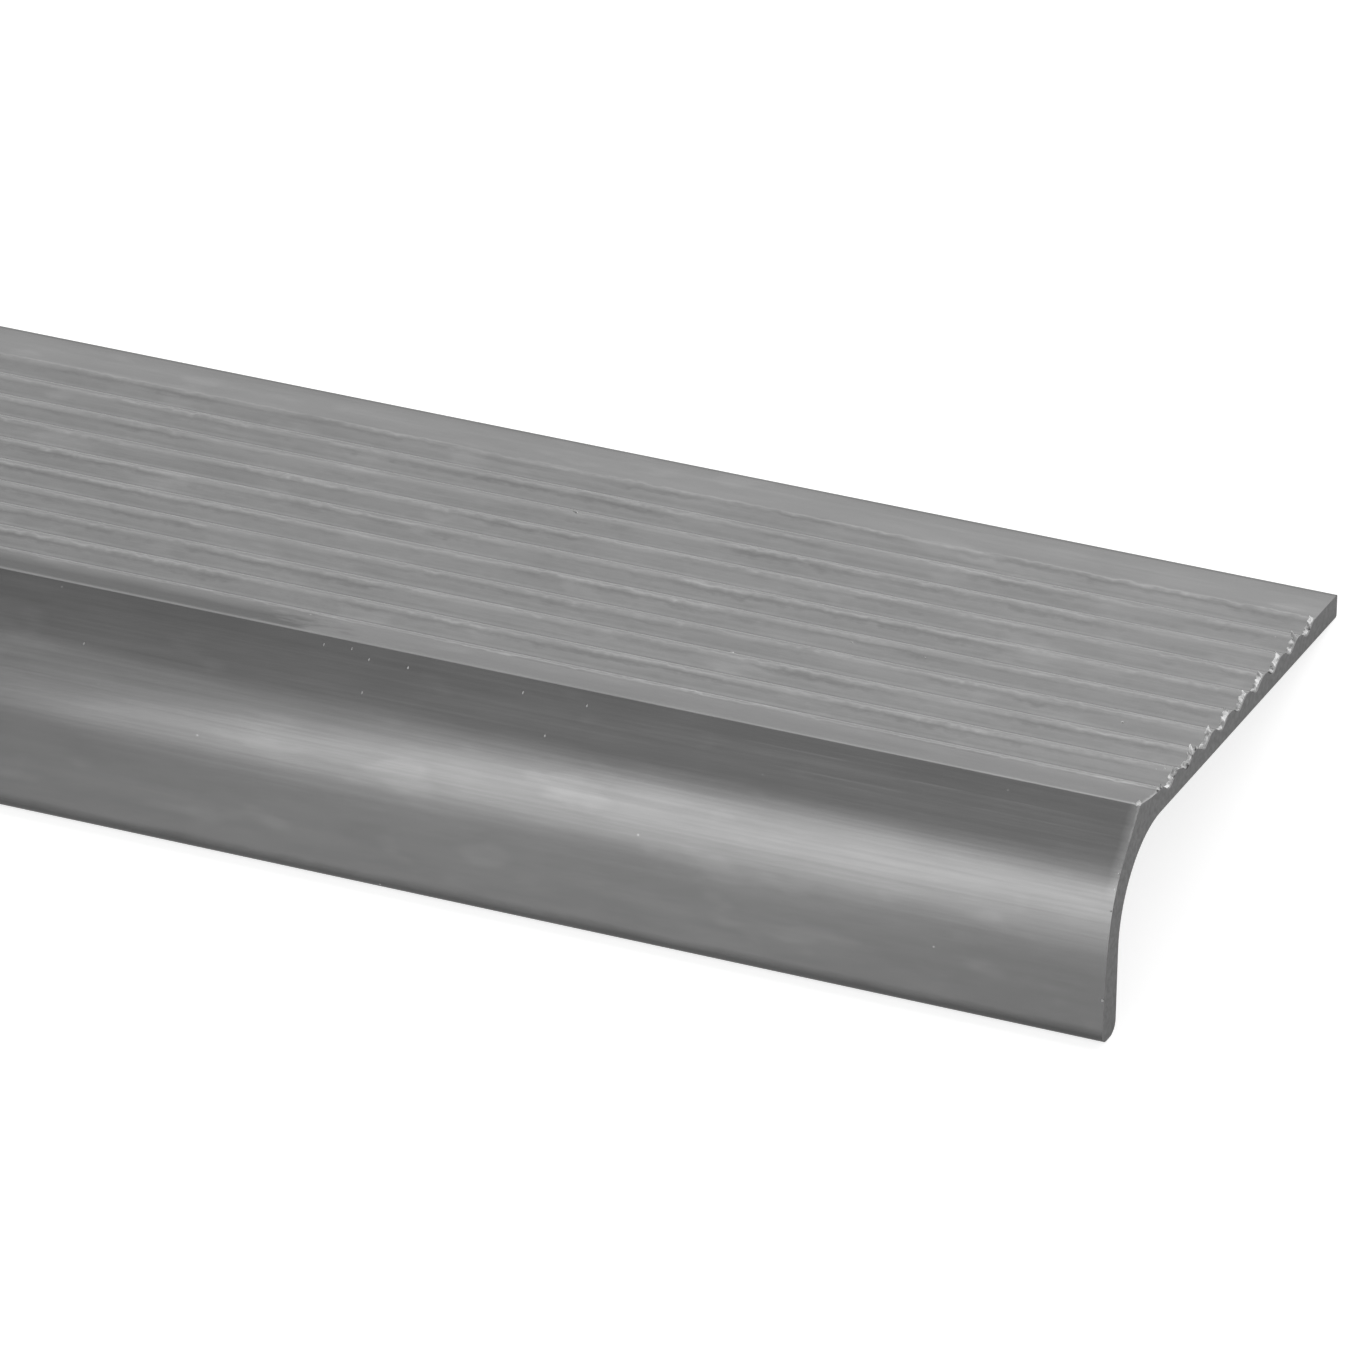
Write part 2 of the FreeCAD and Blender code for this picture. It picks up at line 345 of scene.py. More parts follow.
    def draw_top(self, pen: Pen) -> None:
        """Draw the top of the tread from the back land to the crest of the lip.

        Args:
            pen: the pen that draws it, from where it is.
        """
        pen.straight(self.tread_reach - self.edge_round - self.back_land_start)
        for groove in range(self.groove_count):
            if groove:
                pen.straight(self.rib_land)
            self.draw_groove(pen)
        middle = self.dish_centre
        end = Vector((0.0, self.land_end, self.tread_thickness)) - middle
        crest = self.lip_centre - middle
        start_side = math.degrees(math.atan2(end.z, end.y))
        crest_side = math.degrees(math.atan2(crest.z, crest.y))
        pen.turn(start_side - Heading.UP.value + Heading.FRONT.value)
        pen.bend(self.dish_radius, crest_side - start_side)

    def draw_front(self, pen: Pen) -> None:
        """Draw the lip, the brow, the nose and the outer face of the apron.

        Args:
            pen: the pen that draws it, from where it is.
        """
        brow_side = Heading.UP.value + self.brow_angle
        face_side = Heading.FRONT.value - self.apron_flare
        pen.bend(self.lip_round, Heading.FRONT.value + self.brow_angle - pen.heading)
        brow_foot = self.nose_centre + heading_vector(brow_side) * self.nose_radius
        pen.straight_to(brow_foot)
        pen.bend(self.nose_radius, self.cheek_start - self.brow_angle)
        pen.bend(self.cheek_radius, Heading.UP.value - self.apron_flare - self.cheek_start)
        face_foot = self.foot_centre + heading_vector(face_side) * self.foot_outer_round
        pen.straight_to(face_foot)

    def draw(self, pen: Pen) -> None:
        """Draw the whole outline, from the inside of the bend and back to it.

        Args:
            pen: the pen that draws it, from where it is.
        """
        pen.straight(self.tread_reach - self.edge_round - self.inner_radius)
        pen.bend(self.edge_round, 90.0)
        pen.straight(self.tread_thickness - 2 * self.edge_round)
        pen.bend(self.edge_round, 90.0)
        self.draw_top(pen)
        self.draw_front(pen)
        pen.bend(self.foot_outer_round, 90.0 + self.apron_flare)
        pen.straight(-self.foot_inner_round - pen.place.y)
        pen.bend(self.foot_inner_round, 90.0)
        pen.straight(self.apron_drop - self.foot_inner_round - self.inner_radius)
        pen.bend(self.inner_radius, -90.0)


@dataclass(frozen=True)
class Placement:
    """How the level section comes to lie in the frame.

    Attributes:
        tilt: lean of the tread, in radians.
        shift: move after the lean, in metres.
        near: where the near end is along the length.
        far: where the far end is along the length.
    """

    tilt: float
    shift: Vector
    near: float
    far: float

    @classmethod
    def from_frame(cls, section: Section) -> "Placement":
        """Fit the section to the box of the frame's own solid.

        Args:
            section: the level section.

        Returns:
            The lean and the move that bring the section into that box.
        """
        low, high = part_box(NODE)
        lean = Matrix.Rotation(-section.rest_tilt, 4, "X")
        front = lean @ section.foot_centre
        heel = lean @ Vector((0.0, -section.foot_inner_round, section.foot_inner_round - section.apron_drop))
        shift = Vector((0.0, low.y - front.y + section.foot_outer_round,
                        low.z - heel.z + section.foot_inner_round))
        return cls(section.rest_tilt, shift, high.x, low.x)

    @property
    def matrix(self) -> Matrix:
        """The lean and the move as one matrix."""
        return Matrix.Translation(self.shift) @ Matrix.Rotation(-self.tilt, 4, "X")

    def settle(self, piece: bpy.types.Object) -> None:
        """Move a piece that was drawn level to where it lies, in its mesh.

        Args:
            piece: the piece, which stays selected.
        """
        make_active(piece)
        piece.matrix_world = self.matrix
        bpy.ops.object.transform_apply(location=True, rotation=True, scale=True)


@dataclass(frozen=True)
class Grain:
    """A smooth noise over the object's own coordinates.

    Attributes:
        along: its fineness along the profile, per metre.
        across: its fineness across the profile, per metre.
        detail: how many finer layers it has.
        roughness: how much the finer layers count.
    """

    along: float
    across: float
    detail: float = 2.0
    roughness: float = 0.6


@dataclass(frozen=True)
class Fade:
    """A change from one value to another between two places.

    Attributes:
        low: the first place, from the edge that the reader names.
        high: the second place, from the same edge.
        start: the value up to the first place.
        end: the value from the second place on.
    """

    low: float
    high: float
    start: float = 0.0
    end: float = 1.0


@dataclass
class Wiring:
    """Adds nodes to a tree and joins them."""

    tree: bpy.types.NodeTree

    @classmethod
    def afresh(cls, owner: bpy.types.ID) -> "Wiring":
        """Start the nodes of a material or a world with none.

        Args:
            owner: the material or the world.

        Returns:
            The wiring of its tree.
        """
        owner.use_nodes = True
        owner.node_tree.nodes.clear()
        return cls(owner.node_tree)

    def add(self, kind: str, settings: dict | None = None, values: dict | None = None) -> bpy.types.Node:
        """Add a node.

        Args:
            kind: the node's type name.
            settings: properties to set on it.
            values: plain values or output sockets for its inputs, by name or number.

        Returns:
            The new node.
        """
        node = self.tree.nodes.new(kind)
        for name, value in (settings or {}).items():
            setattr(node, name, value)
        for name, value in (values or {}).items():
            if isinstance(value, bpy.types.NodeSocket):
                self.join(value, node.inputs[name])
            else:
                node.inputs[name].default_value = value
        return node

    def join(self, value: bpy.types.NodeSocket, target: bpy.types.NodeSocket) -> None:
        """Link an output to an input."""
        self.tree.links.new(value, target)

    def group(self, tree: bpy.types.NodeTree, values: dict | None = None) -> bpy.types.NodeOutputs:
        """Place a node group and return its outputs."""
        return self.add("ShaderNodeGroup", {"node_tree": tree}, values).outputs

    def math(self, operation: str, *terms: object) -> bpy.types.NodeSocket:
        """Add a Math node and return its output."""
        return self.add("ShaderNodeMath", {"operation": operation}, dict(enumerate(terms))).outputs[0]

    def above(self, value: object, limit: float) -> bpy.types.NodeSocket:
        """Make a mask of where a value is above a limit."""
        return self.math("GREATER_THAN", value, limit)

    def below(self, value: object, limit: object) -> bpy.types.NodeSocket:
        """Make a mask of where a value is below a limit."""
        return self.math("LESS_THAN", value, limit)

    def shift(self, value: object, mask: object, reach: float) -> bpy.types.NodeSocket:
        """Add a share of a mask to a value."""
        return self.math("MULTIPLY_ADD", mask, reach, value)

    def gain(self, mask: object, amount: object) -> bpy.types.NodeSocket:
        """Turn a mask into a factor, 1 where the mask is 0."""
        return self.math("MULTIPLY_ADD", mask, amount, 1.0)

    def product(self, *terms: object) -> bpy.types.NodeSocket:
        """Multiply several numbers together.

        Args:
            terms: the numbers, the first of them an output.

        Returns:
            The product.
        """
        result = terms[0]
        for term in terms[1:]:
            result = self.math("MULTIPLY", result, term)
        return result

    def blend(self, share: object, low: object, high: object) -> bpy.types.NodeSocket:
        """Mix two numbers by a share and return the result."""
        return self.add("ShaderNodeMix", {"data_type": "FLOAT"}, {0: share, 2: low, 3: high}).outputs[0]

    def fade(self, value: object, fade: Fade, edge: float = 0.0) -> bpy.types.NodeSocket:
        """Map a value by a fade, held at its ends.

        Args:
            value: the value to map.
            fade: the change to apply.
            edge: the edge that the fade is measured from.

        Returns:
            The mapped value.
        """
        node = self.add("ShaderNodeMapRange", {"clamp": True},
                        {"Value": value, "From Min": edge + fade.low, "From Max": edge + fade.high,
                         "To Min": fade.start, "To Max": fade.end})
        return node.outputs["Result"]

    def ridge(self, value: object, middle: float, half_width: float) -> bpy.types.NodeSocket:
        """Make a mask that is 1 at a value and falls to 0 on either side."""
        away = self.math("ABSOLUTE", self.math("SUBTRACT", value, middle))
        return self.fade(away, Fade(0.0, half_width, 1.0, 0.0))

    def noise(self, along: object, across: object, detail: float, roughness: float) -> bpy.types.NodeSocket:
        """Add noise over the object's own coordinates.

        Args:
            along: its fineness along the profile, per metre.
            across: its fineness across the profile, per metre.
            detail: how many finer layers it has.
            roughness: how much the finer layers count.

        Returns:
            The noise, from 0 to 1.
        """
        place = self.add("ShaderNodeTexCoord").outputs["Object"]
        scale = self.add("ShaderNodeCombineXYZ", None, {"X": along, "Y": across, "Z": across})
        scaled = self.add("ShaderNodeVectorMath", {"operation": "MULTIPLY"}, {0: place, 1: scale.outputs[0]})
        node = self.add("ShaderNodeTexNoise", None,
                        {"Vector": scaled.outputs[0], "Scale": 1.0, "Detail": detail, "Roughness": roughness})
        return node.outputs["Fac"]

    def grain(self, grain: Grain) -> bpy.types.NodeSocket:
        """Add a grain, from 0 to 1."""
        return self.noise(grain.along, grain.across, grain.detail, grain.roughness)

    def swing(self, value: object) -> bpy.types.NodeSocket:
        """Centre a value from 0 to 1 on 0."""
        return self.math("SUBTRACT", value, 0.5)

    def grey(self, tone: object) -> bpy.types.NodeSocket:
        """Make a neutral colour of a number."""
        return self.add("ShaderNodeCombineColor", None, {"Red": tone, "Green": tone, "Blue": tone}).outputs[0]

    def bump(self, height: object, distance: float) -> bpy.types.NodeSocket:
        """Add a bump and return its normal."""
        node = self.add("ShaderNodeBump", None, {"Strength": 1.0, "Distance": distance, "Height": height})
        return node.outputs[0]


def new_group(name: str, inputs: dict[str, float], outputs: Iterable[str]) \
        -> tuple[Wiring, bpy.types.NodeOutputs, bpy.types.NodeInputs]:
    """Start a shader node group of numbers.

    Args:
        name: the group's name.
        inputs: default value of each input, by its name.
        outputs: name of each output.

    Returns:
        The group's wiring, the sockets of its input node and those of its output node.
    """
    group = bpy.data.node_groups.new(name, "ShaderNodeTree")
    for label, value in inputs.items():
        socket = group.interface.new_socket(label, in_out="INPUT", socket_type=NUMBER)
        socket.default_value = value
    for label in outputs:
        group.interface.new_socket(label, in_out="OUTPUT", socket_type=NUMBER)
    source, sink = group.nodes.new("NodeGroupInput"), group.nodes.new("NodeGroupOutput")
    return Wiring(group), source.outputs, sink.inputs


@dataclass(frozen=True)
class RibLook:
    """Where the ribs get painted highlights, painted shade and painted light.

    The crest band is a painted highlight, the steep and bed bands are painted shade,
    and the hidden band is painted light.

    A place on a rib is a share of the pitch, from the front shoulder of a
    groove: its bed is at 0.46, its back shoulder at 0.93 and the crest up to 1.
    Each band has its middle and its half width. The wander and the nibble carry
    the bands to and fro, and the breaks interrupt them. The margins reach before
    the first groove, into it, and behind the last one.
    """

    wander: Grain = Grain(70.0, 600.0, 6.0, 0.78)
    wander_reach: float = 1.9 * MM
    nibble: Grain = Grain(800.0, 500.0)
    nibble_reach: float = 0.9 * MM
    breaks: Grain = Grain(75.0, 420.0, 4.0)
    break_fade: Fade = Fade(0.38, 0.60)
    crest: tuple[float, float] = (0.94, 0.055)
    crest_fade: Fade = Fade(0.0, 1.0, 0.45, 1.0)
    foremost_gain: float = 0.8
    steep: tuple[float, float] = (0.79, 0.10)
    steep_fade: Fade = Fade(-50.0 * MM, 0.0, 1.0, 0.80)
    bed: tuple[float, float] = (0.49, 0.17)
    bed_share: float = 0.42
    hidden: tuple[float, float] = (0.20, 0.20)
    margins: tuple[float, float, float] = (0.75 * MM, 0.5 * MM, 0.3 * MM)
    floor: float = 0.6 * MM


@dataclass(frozen=True)
class ShadeLook:
    """Where painted shade and painted light lie on the profile, and where it is torn and scored.

    The dish, the foot, the back and its verge, the apron and the lower nose near the
    near end get painted shade; the brow and the tread near the near end get painted
    light; the crest of the lip and the cut edge of the brow get painted highlights.

    Fades along the profile are from the near end, those of the dish from the
    crest of the lip, that of the foot from the tip of the apron, and those of
    the back and its verge from the back edge. The others are depths or heights.
    A fray says how far the noise carries the edge of a patch.
    """

    fray: Grain = Grain(260.0, 900.0, 3.0)
    floor: float = 0.4 * MM
    # painted shade in the hollow behind the lip
    dish_front: Fade = Fade(-0.1 * MM, 0.4 * MM)
    dish_back: Fade = Fade(2.2 * MM, 5.2 * MM, 1.0, 0.0)
    dish_fade: Fade = Fade(-82.0 * MM, -77.0 * MM, 0.68, 0.20)
    dish_fray: float = 20.0 * MM
    # painted shade along the foot of the apron
    foot: Fade = Fade(0.8 * MM, 1.6 * MM, 0.57, 1.0)
    foot_fray: float = 0.5 * MM
    # painted shade along the back edge of the tread and its rounded verge
    back: Fade = Fade(-2.2 * MM, -0.2 * MM, 1.0, 0.86)
    verge: Fade = Fade(-0.65 * MM, -0.30 * MM, 1.0, 0.72)
    # painted shade on the apron, and low on the nose towards the near end
    apron: Fade = Fade(-12.0 * MM, -7.0 * MM, 0.94, 1.0)
    corner: Fade = Fade(-36.0 * MM, -8.0 * MM, 1.0, 0.91)
    corner_top: Fade = Fade(-6.0 * MM, -4.0 * MM)
    # painted light on the brow and the tread towards the near end
    near_end_light: Fade = Fade(-100.0 * MM, 0.0, 0.98, 1.14)
    near_end_light_front: Fade = Fade(0.5 * MM, 2.5 * MM)
    # painted highlight along the crest of the lip, turning into painted shade away from the near end
    lip_band: tuple[float, float] = (-0.02 * MM, 0.26 * MM)
    lip_drop: float = 0.4 * MM
    lip_light_and_shade: Fade = Fade(-50.0 * MM, -8.0 * MM, -0.4, 1.0)
    lip_light_and_shade_fray: float = 30.0 * MM
    # painted highlight along the cut edge of the brow, with the torn metal and the scratches
    rim_fray: float = 0.6 * MM
    rim: Fade = Fade(-1.0 * MM, -0.1 * MM)
    rim_back: float = 0.1 * MM
    rim_height: Fade = Fade(-4.0 * MM, -1.0 * MM)
    torn: Fade = Fade(-0.35 * MM, -0.10 * MM)
    torn_gain: float = 1.6
    scores: tuple[float, ...] = (1.95 * MM, 2.75 * MM, 3.10 * MM, 3.45 * MM)
    score_width: float = 0.05 * MM
    score_gaps: Grain = Grain(60.0, 3000.0, 3.0)
    gap_fade: Fade = Fade(0.50, 0.60)
    score_fade: Fade = Fade(-60.0 * MM, -20.0 * MM, 0.12, 0.62)


class Effects:
    """The surface effects that the finishes share, as node groups."""

    def __init__(self, section: Section, placement: Placement) -> None:
        """Build the groups.

        Args:
            section: the level section, for the places of its features.
            placement: how the section lies.
        """
        self.section = section
        self.placement = placement
        self.level = self.make_level()
        self.die_lines = self.make_die_lines()
        self.flecks = self.make_flecks()
        self.smudges = self.make_smudges()
        self.rib_pattern = self.make_rib_pattern(RibLook())
        self.shade = self.make_shade(ShadeLook())

    def make_level(self) -> bpy.types.NodeTree:
        """Make the length, depth and height of a point, with the section level.

        Returns:
            The group.
        """
        wires, _, sink = new_group("level", {}, ("Along", "Depth", "Height"))
        place = wires.add("ShaderNodeTexCoord").outputs["Object"]
        back = wires.add("ShaderNodeVectorMath", {"operation": "SUBTRACT"},
                         {0: place, 1: tuple(self.placement.shift)})
        turned = wires.add("ShaderNodeVectorRotate", {"rotation_type": "X_AXIS"},
                           {"Vector": back.outputs[0], "Angle": self.placement.tilt})
        parts = wires.add("ShaderNodeSeparateXYZ", None, {0: turned.outputs[0]})
        for part, target in zip(parts.outputs, sink):
            wires.join(part, target)
        return wires.tree

    def make_die_lines(self, slower: float = 0.3, wider: float = 0.28,
                       share: float = 0.45) -> bpy.types.NodeTree:
        """Make the fine lines along the length, left by the mouth of the die.

        Args:
            slower: how much longer the broad lines run than the fine ones, as a share.
            wider: how much broader they are, as a share.
            share: how much they count.

        Returns:
            The group.
        """
        wires, source, sink = new_group("die_lines", {"Run": 45.0, "Fineness": 5200.0}, ("Tone", "Height"))
        fine = wires.noise(source["Run"], source["Fineness"], 2.0, 0.6)
        slow = wires.math("MULTIPLY", source["Run"], slower)
        wide = wires.math("MULTIPLY", source["Fineness"], wider)
        both = wires.blend(share, fine, wires.noise(slow, wide, 2.0, 0.5))
        wires.join(wires.fade(both, Fade(0.30, 0.70)), sink["Tone"])
        wires.join(both, sink["Height"])
        return wires.tree

    def make_flecks(self) -> bpy.types.NodeTree:
        """Make the small light specks and nicks from handling.

        Returns:
            The group.
        """
        wires, source, sink = new_group("flecks", {"Scale": 500.0, "Size": 0.05, "Share": 0.5}, ("Mask",))
        place = wires.add("ShaderNodeTexCoord").outputs["Object"]
        cells = wires.add("ShaderNodeTexVoronoi", {"feature": "F1"},
                          {"Vector": place, "Scale": source["Scale"], "Randomness": 1.0}).outputs
        dice = wires.add("ShaderNodeSeparateColor", None, {"Color": cells["Color"]}).outputs
        near = wires.below(cells["Distance"], source["Size"])
        wires.join(wires.product(near, wires.below(dice["Red"], source["Share"])), sink["Mask"])
        return wires.tree

    def make_smudges(self, stain: Grain = Grain(130.0, 330.0, 2.0, 0.5),
                     stain_fade: Fade = Fade(0.58, 0.68, 0.0, 0.9)) -> bpy.types.NodeTree:
        """Make the soft patches, longer than they are wide, and the lighter stains among them.

        Args:
            stain: noise of the stains.
            stain_fade: where that noise starts a stain, and how light it is.

        Returns:
            The group.
        """
        wires, source, sink = new_group("smudges", {"Run": 110.0, "Fineness": 520.0}, ("Tone",))
        patch = wires.fade(wires.noise(source["Run"], source["Fineness"], 3.0, 0.6), Fade(0.32, 0.68))
        wires.join(wires.math("ADD", wires.fade(wires.grain(stain), stain_fade), patch), sink["Tone"])
        return wires.tree

    def rib_place(self, wires: Wiring, depth: object) -> bpy.types.NodeSocket:
        """Make the place on a rib of a depth.

        Args:
            wires: the wiring of the group.
            depth: the depth.

        Returns:
            The share of the pitch, from the front shoulder of the groove.
        """
        turns = wires.math("DIVIDE", wires.math("SUBTRACT", depth, self.section.land_end),
                           self.section.groove_pitch)
        return wires.math("FRACT", turns)

    def make_rib_pattern(self, look: RibLook) -> bpy.types.NodeTree:
        """Make the painted highlights on the crests of the ribs, the painted shade on the steep
        sides under them and in the groove beds, and the painted light on the sides that face
        away from the lip, wavy and broken.

        Args:
            look: where the bands lie.

        Returns:
            The group, whose masks are from 0 to 1.
        """
        wires, _, sink = new_group("rib_pattern", {}, ("Light", "Dark", "Hidden"))
        along, depth, height = wires.group(self.level)
        before, into, behind = look.margins
        ribbed = wires.product(wires.above(depth, self.section.land_end - before),
                               wires.below(depth, self.section.back_land_start + behind),
                               wires.above(height, look.floor))
        wavy = wires.shift(depth, wires.swing(wires.grain(look.wander)), look.wander_reach)
        wavy = wires.shift(wavy, wires.swing(wires.grain(look.nibble)), look.nibble_reach)
        place = self.rib_place(wires, wavy)
        broken = wires.fade(wires.grain(look.breaks), look.break_fade)
        foremost = wires.below(depth, self.section.land_end + into)
        # painted highlight along the crest of each rib
        light = wires.product(wires.ridge(place, *look.crest), ribbed, wires.fade(broken, look.crest_fade),
                              wires.gain(foremost, look.foremost_gain))
        # painted shade on the steep side under each crest
        steep = wires.product(wires.ridge(place, *look.steep), broken,
                              wires.fade(along, look.steep_fade, self.placement.near))
        # painted shade in the bed of each groove
        bed = wires.math("MULTIPLY", wires.ridge(place, *look.bed), look.bed_share)
        # painted light on the side that faces away from the lip, lifting the shade in the groove
        hidden = wires.ridge(self.rib_place(wires, depth), *look.hidden)
        wires.join(light, sink["Light"])
        wires.join(wires.product(wires.math("MAXIMUM", steep, bed), ribbed), sink["Dark"])
        wires.join(wires.product(hidden, ribbed), sink["Hidden"])
        return wires.tree

    def make_shade(self, look: ShadeLook) -> bpy.types.NodeTree:
        """Make the painted shade and painted light as a factor, the painted highlight and shade
        along the crest of the lip as a mask, and the rim as a mask: a painted highlight on the
        cut edge of the brow, with the torn metal and the scratches.

        Args:
            look: where they lie.

        Returns:
            The group.
        """
        wires, _, sink = new_group("shade", {}, ("Factor", "Crest", "Rim"))
        along, depth, height = wires.group(self.level)
        near, lip = self.placement.near, self.section.lip_centre.y
        fray = wires.swing(wires.grain(look.fray))
        upper = wires.above(height, look.floor)
        # factor of painted shade and painted light
        wires.join(self.painted_shading(wires, look, fray, upper), sink["Factor"])

        # painted highlight along the crest of the lip near the near end, turning into painted shade farther
        # along
        crest = wires.product(wires.ridge(depth, lip + look.lip_band[0], look.lip_band[1]), upper,
                              wires.above(height, self.section.lip_height - look.lip_drop))
        lip_light_and_shade = wires.fade(wires.shift(along, fray, look.lip_light_and_shade_fray), look.lip_light_and_shade, near)
        wires.join(wires.math("MULTIPLY", crest, lip_light_and_shade), sink["Crest"])

        # rim: a painted highlight along the cut edge of the brow, joined with the lighter torn metal on the
        # land and the scratches
        edge = wires.shift(along, fray, look.rim_fray)
        rim = wires.product(wires.fade(edge, look.rim, near), wires.below(depth, lip + look.rim_back),
                            wires.fade(height, look.rim_height))
        torn = wires.product(wires.fade(edge, look.torn, near),
                             wires.below(depth, self.section.land_end), upper)
        rim = wires.math("MAXIMUM", rim, wires.math("MULTIPLY", torn, look.torn_gain))
        gaps = wires.fade(wires.grain(look.score_gaps), look.gap_fade)
        strength = wires.product(gaps, wires.fade(along, look.score_fade, near), upper)
        for place in look.scores:
            score = wires.product(wires.ridge(depth, place, look.score_width), strength)
            rim = wires.math("MAXIMUM", rim, score)
        wires.join(rim, sink["Rim"])
        return wires.tree

    def painted_shading(self, wires: Wiring, look: ShadeLook, fray: bpy.types.NodeSocket,
                upper: bpy.types.NodeSocket) -> bpy.types.NodeSocket:
        """Make the factor of the painted shade and painted light.

        Args:
            wires: the wiring of the group.
            look: where the painted shade and painted light lie.
            fray: noise about 0 that frays it.
            upper: mask of the top of the tread.

        Returns:
            The factor, 1 where nothing is painted.
        """
        along, depth, height = wires.group(self.level)
        near, lip, rear = self.placement.near, self.section.lip_centre.y, self.section.tread_reach
        # painted shade in the hollow behind the lip, deeper towards the far end
        behind = wires.product(wires.fade(depth, look.dish_front, lip),
                               wires.fade(depth, look.dish_back, lip), upper)
        dish = wires.product(behind, wires.fade(wires.shift(along, fray, look.dish_fray), look.dish_fade, near))
        # painted shade along the foot of the apron, where it meets the floor
        foot = wires.fade(wires.shift(height, fray, look.foot_fray), look.foot, -self.section.apron_drop)
        # painted shade low on the nose and the apron, deepening towards the near end
        corner = wires.blend(wires.fade(height, look.corner_top), wires.fade(along, look.corner, near), 1.0)
        # painted light on the brow and the tread, growing towards the near end
        near_end_light = wires.blend(wires.fade(depth, look.near_end_light_front), 1.0, wires.fade(along, look.near_end_light, near))
        # painted shade along the back edge of the tread and its rounded verge
        back = wires.product(wires.fade(depth, look.back, rear), wires.fade(depth, look.verge, rear))
        # painted shade on the apron, darker below
        apron = wires.fade(height, look.apron)
        return wires.product(wires.gain(dish, -1.0), foot, back, apron, corner, near_end_light)


def start_material(name: str, gloss: dict[str, float]) \
        -> tuple[bpy.types.Material, Wiring, bpy.types.NodeInputs]:
    """Start a material with a bare Principled shader.

    Args:
        name: the material's name.
        gloss: plain values of the shader, by name.

    Returns:
        The material, its wiring and the shader's sockets.
    """
    material = bpy.data.materials.new(name)
    material.use_nodes = True
    shader = material.node_tree.nodes["Principled BSDF"].inputs
    for label, value in gloss.items():
        shader[label].default_value = value
    return material, Wiring(material.node_tree), shader


def grey(level: float) -> tuple[float, float, float, float]:
    """Make a neutral colour."""
    return (level, level, level, 1.0)


@dataclass(frozen=True)
class MillFinish:
    """Aluminium as it comes from the die: satin, with lines along its length.

    Attributes:
        tone: base colour.
        tread_lines: contrast of the die lines on the tread.
        front_lines: contrast of the die lines on the brow and the nose.
        front_edge: depth at which the brow ends and the tread starts.
        apron_lines: share of that contrast down the apron, by height.
        smudge_contrast: contrast of the soft patches.
        crest_highlight_gain: strength of the painted highlight on the crests of the ribs.
        flank_shade_gain: strength of the painted shade on the steep sides under them and in the beds of the
            grooves.
        hidden_light_gain: strength of the painted light on the sides that face away from the lip.
        lip_light_and_shade_gain: strength of the painted highlight on the crest of the lip near the cut end,
            which turns into painted shade farther along.
        rim_gain: how much lighter the rim is: a painted highlight on the cut edge of the brow, with the torn
            metal and the scratches.
        fleck_tone: colour of the specks.
        fleck_size: size of a speck, as a share of the space it has.
        fleck_shares: how many specks there are on the tread and on the front.
        roughness: gloss of the surface.
        anisotropy: how far a highlight is drawn out across the lines.
        line_height: depth of the die lines.
    """

    tone: float = 0.249
    tread_lines: float = 0.10
    front_lines: float = 0.19
    front_edge: Fade = Fade(3.6 * MM, 4.2 * MM, 1.0, 0.0)
    apron_lines: Fade = Fade(-11.0 * MM, -7.0 * MM, 0.25, 1.0)
    smudge_contrast: float = 0.11
    crest_highlight_gain: float = 0.30
    flank_shade_gain: float = -0.24
    hidden_light_gain: float = 1.8
    lip_light_and_shade_gain: float = 0.17
    rim_gain: float = 0.55
    fleck_tone: float = 0.42
    fleck_size: float = 0.045
    fleck_shares: tuple[float, float] = (0.04, 0.16)
    roughness: float = 0.255
    anisotropy: float = 0.71
    line_height: float = 0.0022 * MM

    def material(self, effects: Effects) -> bpy.types.Material:
        """Make the material.

        Args:
            effects: the shared node groups.

        Returns:
            The material.
        """
        material, wires, shader = start_material("mill_aluminium", {
            "Metallic": 1.0, "Roughness": self.roughness, "Anisotropic": self.anisotropy})
        _, depth, height = wires.group(effects.level)
        lines = wires.group(effects.die_lines)
        ribs = wires.group(effects.rib_pattern)
        shade = wires.group(effects.shade)
        front = wires.fade(depth, self.front_edge)
        contrast = wires.product(wires.blend(front, self.tread_lines, self.front_lines),
                                 wires.fade(height, self.apron_lines))
        # base colour with painted highlights, painted shade and painted light from the ribs, the lip, the rim
        # and the shade factor, over the real die lines, patches, stains and specks
        tone = wires.product(
            wires.gain(wires.swing(lines["Tone"]), contrast),
            wires.gain(wires.swing(wires.group(effects.smudges)["Tone"]), self.smudge_contrast),
            # painted highlight on the rib crests, painted shade on their steep sides and beds, painted light on
            # their hidden sides
            wires.gain(ribs["Light"], self.crest_highlight_gain),
            wires.gain(ribs["Dark"], self.flank_shade_gain),
            wires.gain(ribs["Hidden"], self.hidden_light_gain),
            # painted highlight and shade along the lip; the rim is a painted highlight with torn metal and
            # scratches
            wires.gain(shade["Crest"], self.lip_light_and_shade_gain),
            wires.gain(shade["Rim"], self.rim_gain),
            shade["Factor"], self.tone)
        share = wires.blend(front, *self.fleck_shares)
        flecks = wires.group(effects.flecks, {"Size": self.fleck_size, "Share": share})
        facing = wires.add("ShaderNodeNewGeometry").outputs["Normal"]
        tangent = wires.add("ShaderNodeVectorMath", {"operation": "CROSS_PRODUCT"},
                            {0: facing, 1: (1.0, 0.0, 0.0)})
        wires.join(wires.grey(wires.blend(flecks["Mask"], tone, self.fleck_tone)), shader["Base Color"])
        wires.join(wires.bump(lines["Height"], self.line_height), shader["Normal"])
        wires.join(tangent.outputs[0], shader["Tangent"])
        return material


